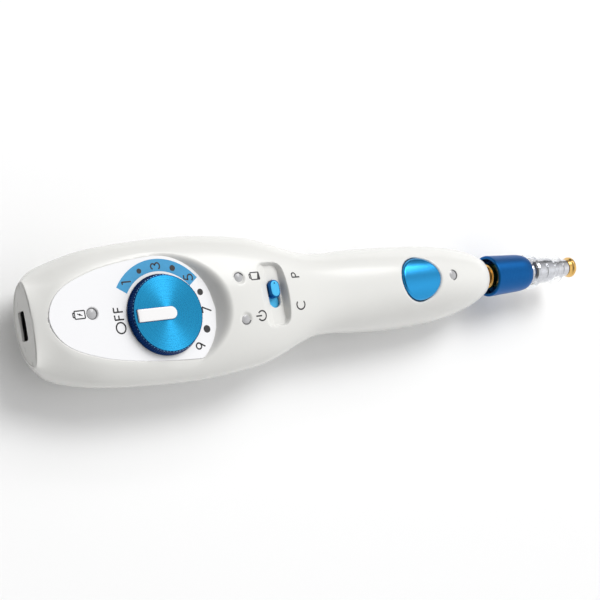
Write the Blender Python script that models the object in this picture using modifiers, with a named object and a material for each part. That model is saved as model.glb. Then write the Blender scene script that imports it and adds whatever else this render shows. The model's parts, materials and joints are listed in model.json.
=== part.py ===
"""Cordless pulse pen handpiece with a power dial, a mode slider, a trigger button and a plug-in tip.

The pen lies on its back. +X runs along it from the charging end to the tip, +Z points out of the
dial's face, and the origin is on the flat underside, level with the dial. Lengths are written in
millimetres, and MM turns them into metres where a mesh is made.
"""

import math

import bmesh
import bpy
from mathutils import Vector

MM = 0.001

# ---- Driving dimensions -------------------------------------------------------------------------

GAP = 0.3  # between pieces that touch on the real pen
CLEARANCE = 0.12  # between a piece and the recess that it is set in
WALL = 1.6  # casing wall
RING_SPACING = 6.0  # about how far apart the casing's sections are drawn
PLATE_Z = 23.0  # top of the face plate
PLATE_THICK = 1.0
SEAT_Z = PLATE_Z - PLATE_THICK - 0.05  # the ledge under the plate
AXIS_Z = 13.5  # height of the pen's long axis
SEAM_ANGLE = math.radians(-8)  # the casing halves meet this far below the widest line

# Casing sections: x, half width, centre height, height above the centre, depth below it.
STATIONS = (
    (-39.5, 11.9, 18.7, 2.8, 6.4),
    (-38.0, 13.0, 17.2, 4.8, 7.4),
    (-35.0, 15.1, 15.0, 8.0, 8.4),
    (-30.0, 16.8, 14.2, 10.4, 10.4),
    (-22.0, 18.9, 16.0, 9.2, 15.3),
    (-12.0, 20.1, 16.8, 8.9, 17.3),
    (0.0, 20.8, 17.0, 9.1, 17.5),
    (12.0, 21.0, 17.0, 9.5, 17.5),
    (24.0, 20.2, 17.0, 10.3, 17.5),
    (36.0, 18.4, 17.2, 9.8, 17.2),
    (45.0, 15.2, 17.2, 9.3, 15.2),
    (52.0, 12.9, 17.0, 9.0, 13.5),
    (60.0, 12.3, 16.2, 9.5, 12.2),
    (70.0, 12.8, 14.3, 11.6, 11.8),
    (84.0, 13.1, 11.4, 14.9, 11.6),
    (98.0, 12.7, 10.2, 15.8, 10.7),
    (108.0, 11.8, 10.4, 14.7, 9.8),
    (115.0, 10.4, 11.2, 12.4, 8.3),
    (120.5, 8.6, 12.6, 9.3, 7.5),
    (124.4, 6.45, 13.5, 6.45, 6.45),
)
TAIL_X = STATIONS[0][0]
NOSE_X = STATIONS[-1][0]
TAIL_LEAN = 0.14  # the tail face leans forward by this much for each unit of height
LEAN_END_X = -30.0

DIAL = (0.0, -2.06)
KNOB_TOP_R = 11.0
KNOB_BASE_R = 11.65
KNOB_TOP_Z = PLATE_Z + 2.7
SHAFT_R = 3.0

RECESS_R = 17.1  # foot of the curved wall in front of the dial
RECESS_TOP_R = 20.1
RECESS_DEPTH = 4.5
CUT_END_X = 0.0  # behind this the casing is cut off level with the plate
PLATE_LAND = 0.6  # width of casing rim left round the plate
PLATE_LEDGE = 1.8  # width of the ledge that the plate sits on
LEDGE_Z = SEAT_Z - 1.5

POCKET_X = 36.4
POCKET_SIZE = (7.6, 19.0)
POCKET_FLOOR_Z = PLATE_Z + 1.0
POCKET_FLOOR_THICK = 1.2
SLOT_SIZE = (3.9, 8.2)
SLOT_X = POCKET_X + 0.7
SLOT_Y = 0.3
SLIDER_SIZE = (3.4, 5.2)
SLIDER_TRAVEL = 2.8
SLIDER_Y = SLOT_Y + SLIDER_TRAVEL / 2

BUTTON_X = 91.6
BUTTON_Y = 0.0
BUTTON_R = (7.45, 6.7)
BUTTON_PROUD = 0.35

LED_R = 1.5
LED_PLACES = {
    "charge": (-22.0, 0.5),
    "battery": (24.45, 5.6),
    "power": (24.45, -6.3),
    "pulse": (104.7, 0.0),
}

BOARD_Z = 13.7
BOARD_THICK = 1.2
BOARD_TOP = BOARD_Z + BOARD_THICK
ON_BOARD = BOARD_TOP + CLEARANCE
UNDER_BOARD = BOARD_Z - CLEARANCE

USB_Z = PLATE_Z - 6.6
USB_SIZE = (8.2, 2.9)

SCREW_PLACES = ((-27.0, 10.8), (-27.0, -10.8), (44.0, 7.4), (44.0, -7.4))
SCREW_HEAD_R = 1.9
SCREW_HEAD_THICK = 1.3
SCREW_SHANK_R = 1.0
SCREW_LENGTH = 8.0
COUNTERBORE_DEPTH = 2.2
TOWER_R = 3.2
POST_R = 2.2

BRASS_R = 4.0
COLLAR_REAR_X = 128.8
COLLAR_FRONT_X = 145.4
COLLAR_REAR_R = 6.75
COLLAR_FRONT_R = 6.05
CARTRIDGE_X = 141.4

# ---- Materials: colour, metallic, roughness -----------------------------------------------------

FINISHES = {
    "white_gloss": ((0.84, 0.83, 0.81), 0.0, 0.18),
    "face_white": ((0.90, 0.90, 0.92), 0.0, 0.35),
    "blue_anodised": ((0.01, 0.16, 0.45), 0.9, 0.32),
    "blue_satin": ((0.01, 0.10, 0.32), 0.8, 0.38),
    "lens": ((0.55, 0.55, 0.57), 0.0, 0.25),
    "clear": ((0.88, 0.90, 0.92), 0.0, 0.08),
    "chrome": ((0.80, 0.80, 0.82), 1.0, 0.10),
    "gold": ((0.80, 0.52, 0.18), 1.0, 0.22),
    "steel": ((0.60, 0.60, 0.62), 1.0, 0.30),
    "board_green": ((0.02, 0.16, 0.07), 0.0, 0.45),
    "chip_black": ((0.02, 0.02, 0.022), 0.0, 0.50),
    "cell_foil": ((0.55, 0.57, 0.60), 0.6, 0.40),
    "foam": ((0.12, 0.12, 0.12), 0.0, 0.95),
    "copper": ((0.62, 0.30, 0.13), 1.0, 0.35),
    "wire_red": ((0.45, 0.02, 0.02), 0.0, 0.45),
    "wire_black": ((0.015, 0.015, 0.015), 0.0, 0.45),
    "wire_white": ((0.75, 0.75, 0.72), 0.0, 0.45),
}


def clear_scene():
    for obj in list(bpy.data.objects):
        bpy.data.objects.remove(obj, do_unlink=True)


def collection(name):
    made = bpy.data.collections.new(name)
    bpy.context.scene.collection.children.link(made)
    return made


def make_materials():
    made = {}
    for name, (colour, metallic, roughness) in FINISHES.items():
        material = bpy.data.materials.new(name)
        material.use_nodes = True
        shader = material.node_tree.nodes["Principled BSDF"]
        shader.inputs["Base Color"].default_value = (*colour, 1.0)
        shader.inputs["Metallic"].default_value = metallic
        shader.inputs["Roughness"].default_value = roughness
        made[name] = material
    return made


clear_scene()
PEN = collection("pulse_pen")
CUTTERS = collection("cutters")
MATERIALS = make_materials()


# ---- Tools: meshes ------------------------------------------------------------------------------


def add_object(name, bm, finish=None, origin=(0.0, 0.0, 0.0)):
    """Makes an object of a mesh written in millimetres. Without a finish it is a hidden cutter."""
    bmesh.ops.translate(bm, verts=bm.verts, vec=-Vector(origin))
    bmesh.ops.scale(bm, verts=bm.verts, vec=(MM, MM, MM))
    bmesh.ops.recalc_face_normals(bm, faces=bm.faces)
    mesh = bpy.data.meshes.new(name)
    bm.to_mesh(mesh)
    bm.free()
    obj = bpy.data.objects.new(name, mesh)
    obj.location = Vector(origin) * MM
    if finish:
        PEN.objects.link(obj)
        mesh.materials.append(MATERIALS[finish])
        mesh.shade_smooth()
        mesh.set_sharp_from_angle(angle=math.radians(35))
    else:
        CUTTERS.objects.link(obj)
        obj.hide_render = True
        obj.display_type = "WIRE"
    return obj


def combine(obj, operation, *others):
    for other in others:
        modifier = obj.modifiers.new(f"{operation.lower()}_{other.name}", "BOOLEAN")
        modifier.operation = operation
        modifier.object = other
        modifier.solver = "EXACT"
    return obj


def cut(obj, *cutters):
    return combine(obj, "DIFFERENCE", *cutters)


def join(obj, *others):
    return combine(obj, "UNION", *others)


def keep_inside(obj, *others):
    return combine(obj, "INTERSECT", *others)


def bevel(obj, width, segments=2):
    modifier = obj.modifiers.new("bevel", "BEVEL")
    modifier.width = width * MM
    modifier.segments = segments
    modifier.limit_method = "ANGLE"
    modifier.angle_limit = math.radians(40)
    return obj


def box(name, low, high, finish=None, origin=(0.0, 0.0, 0.0)):
    bm = bmesh.new()
    bmesh.ops.create_cube(bm, size=1.0)
    low = Vector(low)
    high = Vector(high)
    bmesh.ops.scale(bm, verts=bm.verts, vec=high - low)
    bmesh.ops.translate(bm, verts=bm.verts, vec=(low + high) / 2)
    return add_object(name, bm, finish, origin)


def turned(name, profile, finish=None, centre=(0.0, 0.0, 0.0), along="Z", steps=28):
    """Turns (radius, height) points, listed from the top end to the bottom one, about an axis."""
    bm = bmesh.new()
    verts = [bm.verts.new((radius * MM, 0, height * MM)) for radius, height in profile]
    for first, second in zip(verts, verts[1:]):
        bm.edges.new((first, second))
    mesh = bpy.data.meshes.new(name)
    bm.to_mesh(mesh)
    bm.free()
    obj = bpy.data.objects.new(name, mesh)
    obj.location = Vector(centre) * MM
    if along == "X":
        obj.rotation_euler = (0, math.radians(90), 0)
    screw = obj.modifiers.new("turn", "SCREW")
    screw.steps = steps
    screw.render_steps = steps
    screw.use_merge_vertices = True
    screw.merge_threshold = 0.000001
    if finish:
        PEN.objects.link(obj)
        mesh.materials.append(MATERIALS[finish])
        screw.use_smooth_shade = True
    else:
        CUTTERS.objects.link(obj)
        obj.hide_render = True
        obj.display_type = "WIRE"
    return obj


def rod(name, radius, low, high, finish=None, centre=(0.0, 0.0, 0.0), along="Z", steps=20):
    profile = ((0, high), (radius, high), (radius, low), (0, low))
    return turned(name, profile, finish, centre, along, steps)


def tube(name, radius, bore, low, high, finish=None, centre=(0.0, 0.0, 0.0), along="Z", steps=24):
    profile = ((bore, high), (radius, high), (radius, low), (bore, low), (bore, high))
    return turned(name, profile, finish, centre, along, steps)


def oval(name, radii, low, high, finish=None, centre=(0.0, 0.0), steps=28, origin=(0.0, 0.0, 0.0)):
    """An upright elliptical post."""
    bm = bmesh.new()
    bmesh.ops.create_cone(bm, cap_ends=True, segments=steps, radius1=1, radius2=1, depth=1)
    bmesh.ops.scale(bm, verts=bm.verts, vec=(radii[0], radii[1], high - low))
    bmesh.ops.translate(bm, verts=bm.verts, vec=(centre[0], centre[1], (low + high) / 2))
    return add_object(name, bm, finish, origin)


def rounded_bar(name, size, low, high, finish=None, centre=(0.0, 0.0), corner=None, steps=6,
                origin=(0.0, 0.0, 0.0)):
    """An upright prism with a rectangular outline and round corners; a stadium by default."""
    half_x, half_y = size[0] / 2, size[1] / 2
    corner = corner or min(half_x, half_y)
    bm = bmesh.new()
    ring = []
    for quarter, (side_x, side_y) in enumerate(((1, 1), (-1, 1), (-1, -1), (1, -1))):
        for step in range(steps + 1):
            angle = math.radians(90) * (quarter + step / steps)
            x = centre[0] + side_x * (half_x - corner) + corner * math.cos(angle)
            y = centre[1] + side_y * (half_y - corner) + corner * math.sin(angle)
            ring.append(bm.verts.new((x, y, low)))
    bmesh.ops.remove_doubles(bm, verts=ring, dist=0.001)
    base = bm.faces.new([vert for vert in ring if vert.is_valid])
    raised = bmesh.ops.extrude_face_region(bm, geom=[base])["geom"]
    tops = [item for item in raised if isinstance(item, bmesh.types.BMVert)]
    bmesh.ops.translate(bm, verts=tops, vec=(0, 0, high - low))
    return add_object(name, bm, finish, origin)


def wire(name, points, radius, finish):
    """A wire along a smooth path through the points."""
    curve = bpy.data.curves.new(name, "CURVE")
    curve.dimensions = "3D"
    curve.bevel_depth = radius * MM
    curve.bevel_resolution = 1
    curve.use_fill_caps = True
    curve.resolution_u = 1
    path = smooth_path(points)
    spline = curve.splines.new("POLY")
    spline.points.add(len(path) - 1)
    for point, place in zip(spline.points, path):
        point.co = (*(place * MM), 1)
    curve.materials.append(MATERIALS[finish])
    obj = bpy.data.objects.new(name, curve)
    PEN.objects.link(obj)
    return obj


def smooth_path(points, steps=5):
    """Points along a smooth curve through the given ones."""
    places = [Vector(point) for point in points]
    places = [2 * places[0] - places[1], *places, 2 * places[-1] - places[-2]]
    path = []
    for before, start, end, after in zip(places, places[1:], places[2:], places[3:]):
        for step in range(steps):
            t = step / steps
            path.append(
                start
                + (end - before) * (t / 2)
                + (2 * before - 5 * start + 4 * end - after) * (t * t / 2)
                + (3 * start - before - 3 * end + after) * (t**3 / 2)
            )
    return [*path, places[-2]]


# ---- The casing's outer form --------------------------------------------------------------------


def section(x):
    """Half width, centre height, top height and bottom depth of the casing at x."""
    last = len(STATIONS) - 2
    index = max(0, min(last, sum(station[0] <= x for station in STATIONS) - 1))
    near = STATIONS[index]
    far = STATIONS[index + 1]
    before = STATIONS[max(index - 1, 0)]
    after = STATIONS[min(index + 2, last + 1)]
    span = far[0] - near[0]
    t = (x - near[0]) / span
    values = []
    for column in range(1, 5):
        near_slope = (far[column] - before[column]) / (far[0] - before[0]) * span
        far_slope = (after[column] - near[column]) / (after[0] - near[0]) * span
        values.append(
            near[column] * (1 + 2 * t) * (1 - t) ** 2
            + near_slope * t * (1 - t) ** 2
            + far[column] * t * t * (3 - 2 * t)
            + far_slope * t * t * (t - 1)
        )
    return values


def skin_point(x, angle, inset=0.0, floor=None):
    """A point of the casing's surface. Angle 0 is at +Y, 90 degrees is on top."""
    width, centre, height, depth = section(x)
    rise = height if math.sin(angle) > 0 else depth
    y = (width - inset) * math.cos(angle)
    z = centre + (rise - inset) * math.sin(angle)
    if floor is not None:
        z = max(z, floor)
    lean = TAIL_LEAN * max(0.0, (x - LEAN_END_X) / (TAIL_X - LEAN_END_X))
    return Vector((x + lean * (z - centre), y, z))


def skin_z(x, y, inset=0.0, below=False):
    """Height of the casing's surface over (or under) a point."""
    width, centre, height, depth = section(x)
    share = math.sqrt(max(0.0, 1 - (y / (width - inset)) ** 2))
    return centre - (depth - inset) * share if below else centre + (height - inset) * share


def ring_places():
    """Where along X the casing's rings stand."""
    places = []
    for near, far in zip(STATIONS, STATIONS[1:]):
        steps = max(1, round((far[0] - near[0]) / RING_SPACING))
        places += [near[0] + (far[0] - near[0]) * step / steps for step in range(steps)]
    return [*places, NOSE_X]


def loft(name, rings, finish=None):
    """Joins rings of the same number of points, and closes both ends."""
    bm = bmesh.new()
    rows = [[bm.verts.new(point) for point in ring] for ring in rings]
    for row, following in zip(rows, rows[1:]):
        for index in range(len(row)):
            step = (index + 1) % len(row)
            bm.faces.new((row[index], row[step], following[step], following[index]))
    bm.faces.new(rows[0])
    bm.faces.new(rows[-1])
    return add_object(name, bm, finish)


def body_form(name, inset, steps=36):
    """The whole casing as one solid, with its surface moved in by inset."""
    rings = []
    for x in ring_places():
        turns = [2 * math.pi * step / steps for step in range(steps)]
        rings.append([skin_point(x, turn, inset, floor=inset) for turn in turns])
    return loft(name, rings)


def half_shell(name, upper, finish, steps=20):
    """One casing half: an outer and an inner skin joined along the seam and at both ends."""
    rings = []
    for x in ring_places():
        start = SEAM_ANGLE
        end = math.pi - SEAM_ANGLE
        if not upper:
            depth = section(x)[3]
            start = 2 * math.pi + math.asin(math.sin(SEAM_ANGLE) - GAP / depth)
            end = 3 * math.pi - start
        turns = [start + (end - start) * step / steps for step in range(steps + 1)]
        outer = [skin_point(x, turn, floor=0.0) for turn in turns]
        inner = [skin_point(x, turn, WALL, floor=WALL) for turn in reversed(turns)]
        rings.append(outer + inner)
    return loft(name, rings, finish)


# ---- Cutters shared by the casing and the plate -------------------------------------------------


def recess_cutter():
    """The round recess that the dial stands in, with its wall leaning outwards."""
    above = PLATE_Z + 12
    slope = (RECESS_TOP_R - RECESS_R) / RECESS_DEPTH
    profile = (
        (0, above),
        (RECESS_R + slope * 12, above),
        (RECESS_R, PLATE_Z),
        (0, PLATE_Z),
    )
    return turned("recess_cutter", profile, centre=(*DIAL, 0), steps=48)


def plate_edge(x, margin):
    """Half the width of the face plate at x."""
    width, centre, height, _ = section(x)
    share = math.sqrt(max(0.0, 1 - ((PLATE_Z - centre) / height) ** 2))
    return width * share - PLATE_LAND + margin


def plate_form(name, margin, low, high, finish=None):
    """The face plate's outline grown by margin, between two heights.

    Behind the dial its edge follows the casing. In front it ends on the recess's round wall.
    """
    apex = TAIL_X
    while plate_edge(apex, margin) <= 0.3:
        apex += 0.05
    front = RECESS_R + 5
    steps = 30
    places = [apex + (front - apex) * (step / steps) ** 1.8 for step in range(steps + 1)]
    outline = [(x, plate_edge(x, margin)) for x in places]
    outline += [(x, -y) for x, y in reversed(outline)]
    bm = bmesh.new()
    base = bm.faces.new([bm.verts.new((x, y, low)) for x, y in outline])
    raised = bmesh.ops.extrude_face_region(bm, geom=[base])["geom"]
    tops = [item for item in raised if isinstance(item, bmesh.types.BMVert)]
    bmesh.ops.translate(bm, verts=tops, vec=(0, 0, high - low))
    plate = add_object(name, bm, finish)
    reach = rod(f"{name}_disc", RECESS_R - CLEARANCE + margin, low - 1, high + 1,
                centre=(*DIAL, 0), steps=48)
    join(reach, box(f"{name}_rear", (-60, -40, low - 1), (CUT_END_X, 40, high + 1)))
    return keep_inside(plate, reach)


def led_hole(name, clearance=0.25):
    x, y = LED_PLACES[name]
    return rod(f"{name}_led_hole", LED_R + clearance, 15, 32, centre=(x, y, 0), steps=16)


# ---- Casing -------------------------------------------------------------------------------------


def screw_levels(place):
    """Heights of a case screw's pocket mouth, seat and tower top."""
    mouth = max(0.0, skin_z(*place, below=True))
    seat = mouth + COUNTERBORE_DEPTH
    return mouth, seat, seat + 1.5


def make_upper_shell():
    shell = half_shell("upper_shell", True, "white_gloss")
    limit = body_form("upper_fill_limit", 0.6)
    fills = [
        rod("recess_wall_fill", RECESS_TOP_R + 1.4, LEDGE_Z, 32, centre=(*DIAL, 0), steps=40),
        plate_form("ledge_fill", 1.0, LEDGE_Z, PLATE_Z + 1),
        rounded_bar(
            "pocket_fill",
            (POCKET_SIZE[0] + 2.8, POCKET_SIZE[1] + 2.0),
            POCKET_FLOOR_Z - POCKET_FLOOR_THICK,
            32,
            centre=(POCKET_X, 0),
            corner=3.4,
        ),
    ]
    for number, place in enumerate(SCREW_PLACES, 1):
        low = screw_levels(place)[2] + GAP
        fills.append(rod(f"post_{number}", POST_R, low, 30, centre=(*place, 0), steps=14))
    for fill in fills:
        keep_inside(fill, limit)
    join(shell, *fills)
    cut(
        shell,
        recess_cutter(),
        box("face_cutter", (-60, -30, PLATE_Z), (CUT_END_X, 30, 45)),
        plate_form("plate_seat_cutter", CLEARANCE, SEAT_Z, 30),
        plate_form("plate_opening_cutter", -PLATE_LEDGE, 15, 31),
        rounded_bar("pocket_cutter", POCKET_SIZE, POCKET_FLOOR_Z, 34, centre=(POCKET_X, 0),
                    corner=2.6),
        rounded_bar("slot_cutter", SLOT_SIZE, 18, 30, centre=(SLOT_X, SLOT_Y)),
        oval("button_cutter", [r + 0.25 for r in BUTTON_R], 15, 32, centre=(BUTTON_X, BUTTON_Y)),
        led_hole("battery"),
        led_hole("power"),
        led_hole("pulse"),
    )
    for number, place in enumerate(SCREW_PLACES, 1):
        low = screw_levels(place)[2] - 1
        drill = rod(f"post_bore_{number}", SCREW_SHANK_R + CLEARANCE, low, low + 8.5,
                    centre=(*place, 0), steps=12)
        cut(shell, drill)
    return shell


def make_lower_shell():
    shell = half_shell("lower_shell", False, "white_gloss")
    limit = body_form("lower_fill_limit", 0.6)
    for number, place in enumerate(SCREW_PLACES, 1):
        mouth, seat, top = screw_levels(place)
        tower = rod(f"tower_{number}", TOWER_R, mouth - 2, top, centre=(*place, 0), steps=16)
        keep_inside(tower, limit)
        join(shell, tower)
        pocket = rod(f"counterbore_{number}", SCREW_HEAD_R + 0.3, mouth - 4, seat,
                     centre=(*place, 0), steps=16)
        bore = rod(f"screw_hole_{number}", SCREW_SHANK_R + CLEARANCE, seat - 1, top + 2,
                   centre=(*place, 0), steps=12)
        cut(shell, pocket, bore)
    return shell


def make_face_plate():
    plate = plate_form("face_plate", 0.0, PLATE_Z - PLATE_THICK, PLATE_Z, "face_white")
    shaft_hole = rod("plate_shaft_hole", SHAFT_R + 0.6, 15, 30, centre=(*DIAL, 0), steps=20)
    return cut(plate, shaft_hole, led_hole("charge"))


def make_tail_plate():
    """The closing plate at the charging end, with the mouth of the charging socket."""
    rings = []
    for x in (TAIL_X + 0.15, TAIL_X + 1.9):
        turns = [2 * math.pi * step / 40 for step in range(40)]
        rings.append([skin_point(x, turn, WALL + CLEARANCE) for turn in turns])
    plate = loft("tail_plate", rings, "white_gloss")
    mouth = box("usb_mouth", (TAIL_X - 5, -USB_SIZE[0] / 2, USB_Z - USB_SIZE[1] / 2),
                (TAIL_X + 8, USB_SIZE[0] / 2, USB_Z + USB_SIZE[1] / 2))
    bevel(mouth, 0.7)
    return cut(plate, mouth)


def make_screws():
    for number, place in enumerate(SCREW_PLACES, 1):
        seat = screw_levels(place)[1] - 0.08
        profile = (
            (0, seat + SCREW_LENGTH),
            (SCREW_SHANK_R * 0.4, seat + SCREW_LENGTH),
            (SCREW_SHANK_R, seat + SCREW_LENGTH - 1),
            (SCREW_SHANK_R, seat),
            (SCREW_HEAD_R, seat),
            (SCREW_HEAD_R, seat - SCREW_HEAD_THICK * 0.6),
            (SCREW_HEAD_R * 0.6, seat - SCREW_HEAD_THICK),
            (0, seat - SCREW_HEAD_THICK),
        )
        screw = turned(f"case_screw_{number}", profile, "steel", centre=(*place, 0), steps=14)
        drive = seat - SCREW_HEAD_THICK
        for turn, size in enumerate(((2.2, 0.5), (0.5, 2.2))):
            arm = box(f"screw_drive_{number}_{turn}",
                      (place[0] - size[0] / 2, place[1] - size[1] / 2, drive - 1),
                      (place[0] + size[0] / 2, place[1] + size[1] / 2, drive + 0.6))
            cut(screw, arm)


# ---- Dial ---------------------------------------------------------------------------------------


def make_dial():
    knob_profile = (
        (0, KNOB_TOP_Z),
        (KNOB_TOP_R - 0.25, KNOB_TOP_Z),
        (KNOB_TOP_R, KNOB_TOP_Z - 0.25),
        (KNOB_BASE_R, PLATE_Z + GAP),
        (KNOB_BASE_R - 1.4, PLATE_Z + GAP),
        (KNOB_TOP_R - 1.3, KNOB_TOP_Z - 0.9),
        (4.6, KNOB_TOP_Z - 0.9),
        (4.6, PLATE_Z + GAP),
        (SHAFT_R + 0.08, PLATE_Z + GAP),
        (SHAFT_R + 0.08, KNOB_TOP_Z - 0.9),
        (0, KNOB_TOP_Z - 0.9),
    )
    knob = turned("dial_knob", knob_profile, "blue_anodised", centre=(*DIAL, 0), steps=48)
    length = 12.4
    centre = (DIAL[0] - 3.6, DIAL[1])
    groove = rounded_bar("pointer_groove", (length + 0.2, 3.6 + 0.2), KNOB_TOP_Z - 0.5,
                         KNOB_TOP_Z + 1, centre=centre, corner=1.2)
    cut(knob, groove)
    pointer = rounded_bar("dial_pointer", (length, 3.6), KNOB_TOP_Z - 0.5 + CLEARANCE,
                          KNOB_TOP_Z + 0.55, "white_gloss", centre, corner=1.1,
                          origin=(*DIAL, KNOB_TOP_Z))
    shaft = rod("dial_shaft", SHAFT_R, ON_BOARD + 3.0, KNOB_TOP_Z - 0.9 - CLEARANCE, "steel",
                centre=(*DIAL, 0), steps=20)
    switch = box("dial_switch", (DIAL[0] - 6.5, DIAL[1] - 6, ON_BOARD),
                 (DIAL[0] + 6.5, DIAL[1] + 6, ON_BOARD + 5.0), "chip_black")
    bevel(switch, 0.5, 1)
    bush = rod("dial_bush_fill", SHAFT_R + 1.0, ON_BOARD + 4.0, PLATE_Z - PLATE_THICK - GAP,
               centre=(*DIAL, 0), steps=20)
    well = rod("dial_shaft_well", SHAFT_R + 0.08, ON_BOARD + 2.9, 30, centre=(*DIAL, 0), steps=20)
    join(switch, bush)
    cut(switch, well)
    return knob, pointer, shaft


# ---- Mode slider --------------------------------------------------------------------------------


def make_slider():
    x = SLOT_X
    floor_bottom = POCKET_FLOOR_Z - POCKET_FLOOR_THICK
    cap_top = POCKET_FLOOR_Z + 1.35
    slider = rounded_bar("mode_slider", SLIDER_SIZE, floor_bottom - 0.5, cap_top, "blue_anodised",
                         (x, SLIDER_Y), origin=(x, SLIDER_Y, floor_bottom))
    base = rounded_bar("slider_base_fill", (6.4, 13.4), floor_bottom - 1.1, floor_bottom - GAP,
                       centre=(x, SLIDER_Y - 1.2), corner=1.0, steps=3)
    join(slider, base)
    lever_top = floor_bottom - 1.1 - CLEARANCE
    lever = box("switch_lever", (x - 0.9, SLIDER_Y - 0.9, ON_BOARD + 1.6),
                (x + 0.9, SLIDER_Y + 0.9, lever_top), "steel", origin=(x, SLIDER_Y, lever_top))
    body = box("slide_switch", (x - 2.4, SLOT_Y - 4.6, ON_BOARD),
               (x + 2.4, SLOT_Y + 4.6, ON_BOARD + 3.6), "steel")
    travel = box("switch_window", (x - 1.1, SLIDER_Y - 1.1 - SLIDER_TRAVEL, ON_BOARD + 1.4),
                 (x + 1.1, SLIDER_Y + 1.1, ON_BOARD + 9))
    cut(body, travel)
    return slider, lever


# ---- Trigger button -----------------------------------------------------------------------------


def make_button():
    centre = (BUTTON_X, BUTTON_Y)
    low = ON_BOARD + 4.4
    cap = oval("button_cap", BUTTON_R, low, 32, "blue_anodised", centre,
               origin=(BUTTON_X, BUTTON_Y, low))
    keep_inside(cap, body_form("button_limit", -BUTTON_PROUD, steps=56))
    flange = oval("button_flange_fill", [r + 0.8 for r in BUTTON_R], low, low + 1.0, centre=centre)
    join(cap, flange)
    switch = box("trigger_switch", (BUTTON_X - 3, -3, ON_BOARD), (BUTTON_X + 3, 3, ON_BOARD + 3.4),
                 "chip_black")
    plunger = rod("trigger_plunger", 1.7, ON_BOARD + 1.9, low - CLEARANCE, "steel",
                  centre=(*centre, 0), steps=16)
    well = rod("plunger_well", 1.8, ON_BOARD + 1.2, 30, centre=(*centre, 0), steps=16)
    cut(switch, well)
    return cap, plunger


# ---- Lamps, board and power ---------------------------------------------------------------------


def make_lamps():
    for name, (x, y) in LED_PLACES.items():
        top = PLATE_Z if name == "charge" else skin_z(x, y)
        rod(f"{name}_light_guide", LED_R, ON_BOARD + 1.3, top + 0.05, "lens", centre=(x, y, 0),
            steps=20)
        box(f"{name}_led", (x - 1.2, y - 0.7, ON_BOARD), (x + 1.2, y + 0.7, ON_BOARD + 1.0), "lens")


def make_board():
    """One long board: wide under the dial, narrow along the grip."""
    bm = bmesh.new()
    outline = (
        (-33.5, 5.5),
        (-23.0, 7.0),
        (-20.0, 15.5),
        (34.0, 15.5),
        (40.5, 4.6),
        (48.5, 4.6),
        (54.0, 7.5),
        (105.0, 7.5),
    )
    verts = [bm.verts.new((x, y, BOARD_Z)) for x, y in outline]
    verts += [bm.verts.new((x, -y, BOARD_Z)) for x, y in reversed(outline)]
    base = bm.faces.new(verts)
    raised = bmesh.ops.extrude_face_region(bm, geom=[base])["geom"]
    tops = [item for item in raised if isinstance(item, bmesh.types.BMVert)]
    bmesh.ops.translate(bm, verts=tops, vec=(0, 0, BOARD_THICK))
    add_object("main_board", bm, "board_green")

    box("controller_chip", (12, 4, ON_BOARD), (19, 11, ON_BOARD + 1.0), "chip_black")
    box("charger_chip", (-15, 5, ON_BOARD), (-11, 9, ON_BOARD + 1.0), "chip_black")
    rod("boost_coil", 3.6, UNDER_BOARD - 4.4, UNDER_BOARD, "copper", centre=(47.5, 0, 0), steps=18)
    transformer = box("pulse_transformer", (61, -5, 7.4), (74, 5, UNDER_BOARD), "chip_black")
    bevel(transformer, 0.6, 1)
    rod("storage_capacitor", 3.6, 80, 93, "cell_foil", centre=(0, 0, 9.2), along="X", steps=18)


def make_usb_socket():
    low = ON_BOARD
    high = USB_Z + 1.35
    front = TAIL_X + 2.4
    socket = box("usb_socket", (front, -3.8, low), (front + 5.6, 3.8, high), "steel")
    mouth = box("usb_socket_mouth", (front - 2, -3.45, low + 0.35), (front + 5.0, 3.45,
                                                                    high - 0.35))
    cut(socket, mouth)
    middle = (low + high) / 2
    box("usb_tongue", (front + 0.8, -1.9, middle - 0.3), (front + 4.9, 1.9, middle + 0.3),
        "chip_black")


def make_battery():
    cell = box("battery_cell", (-19, -11, 4.8), (24, 11, UNDER_BOARD - 0.6), "cell_foil")
    bevel(cell, 2.2, 3)
    box("battery_pad", (-15, -4.5, 2.5), (18, 4.5, 4.6), "foam")
    wire("battery_lead_red", ((24.6, 3, 9), (28, 3.2, 8.6), (31, 4.5, 9.5), (32, 5, 12.4)), 0.55,
         "wire_red")
    wire("battery_lead_black", ((24.6, -3, 9), (28, -3.2, 8.6), (31, -4.5, 9.5), (32, -5, 12.4)),
         0.55, "wire_black")


# ---- Nose and tip -------------------------------------------------------------------------------


def make_nose():
    centre = (0, 0, AXIS_Z)
    tube("nose_bush", 4.72, BRASS_R + 0.1, 111, NOSE_X - 0.6, "chip_black", centre, "X")
    brass = (
        (2.1, 140.8),
        (3.6, 140.8),
        (3.9, 140.3),
        (3.9, 131.4),
        (3.3, 130.9),
        (3.3, 130.2),
        (BRASS_R, 129.8),
        (BRASS_R, 127.6),
        (3.45, 127.3),
        (3.45, 126.6),
        (BRASS_R, 126.3),
        (BRASS_R, 109.5),
        (2.1, 109.5),
        (2.1, 140.8),
    )
    turned("brass_post", brass, "gold", centre, "X", 26)
    tube("insulator_sleeve", 1.95, 1.1, 108.5, 140.2, "wire_white", centre, "X", 16)
    rod("contact_pin", 0.95, 106.5, 142.2, "gold", centre, "X", 12)
    wire("pulse_lead", ((74.8, 0, 9.5), (77.5, 3.2, 7.6), (84, 5.6, 7.2), (94, 4.4, 8.0),
                        (101, 0.8, 11.0), (105.8, 0, AXIS_Z - 1.2)), 0.6, "wire_white")


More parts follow.
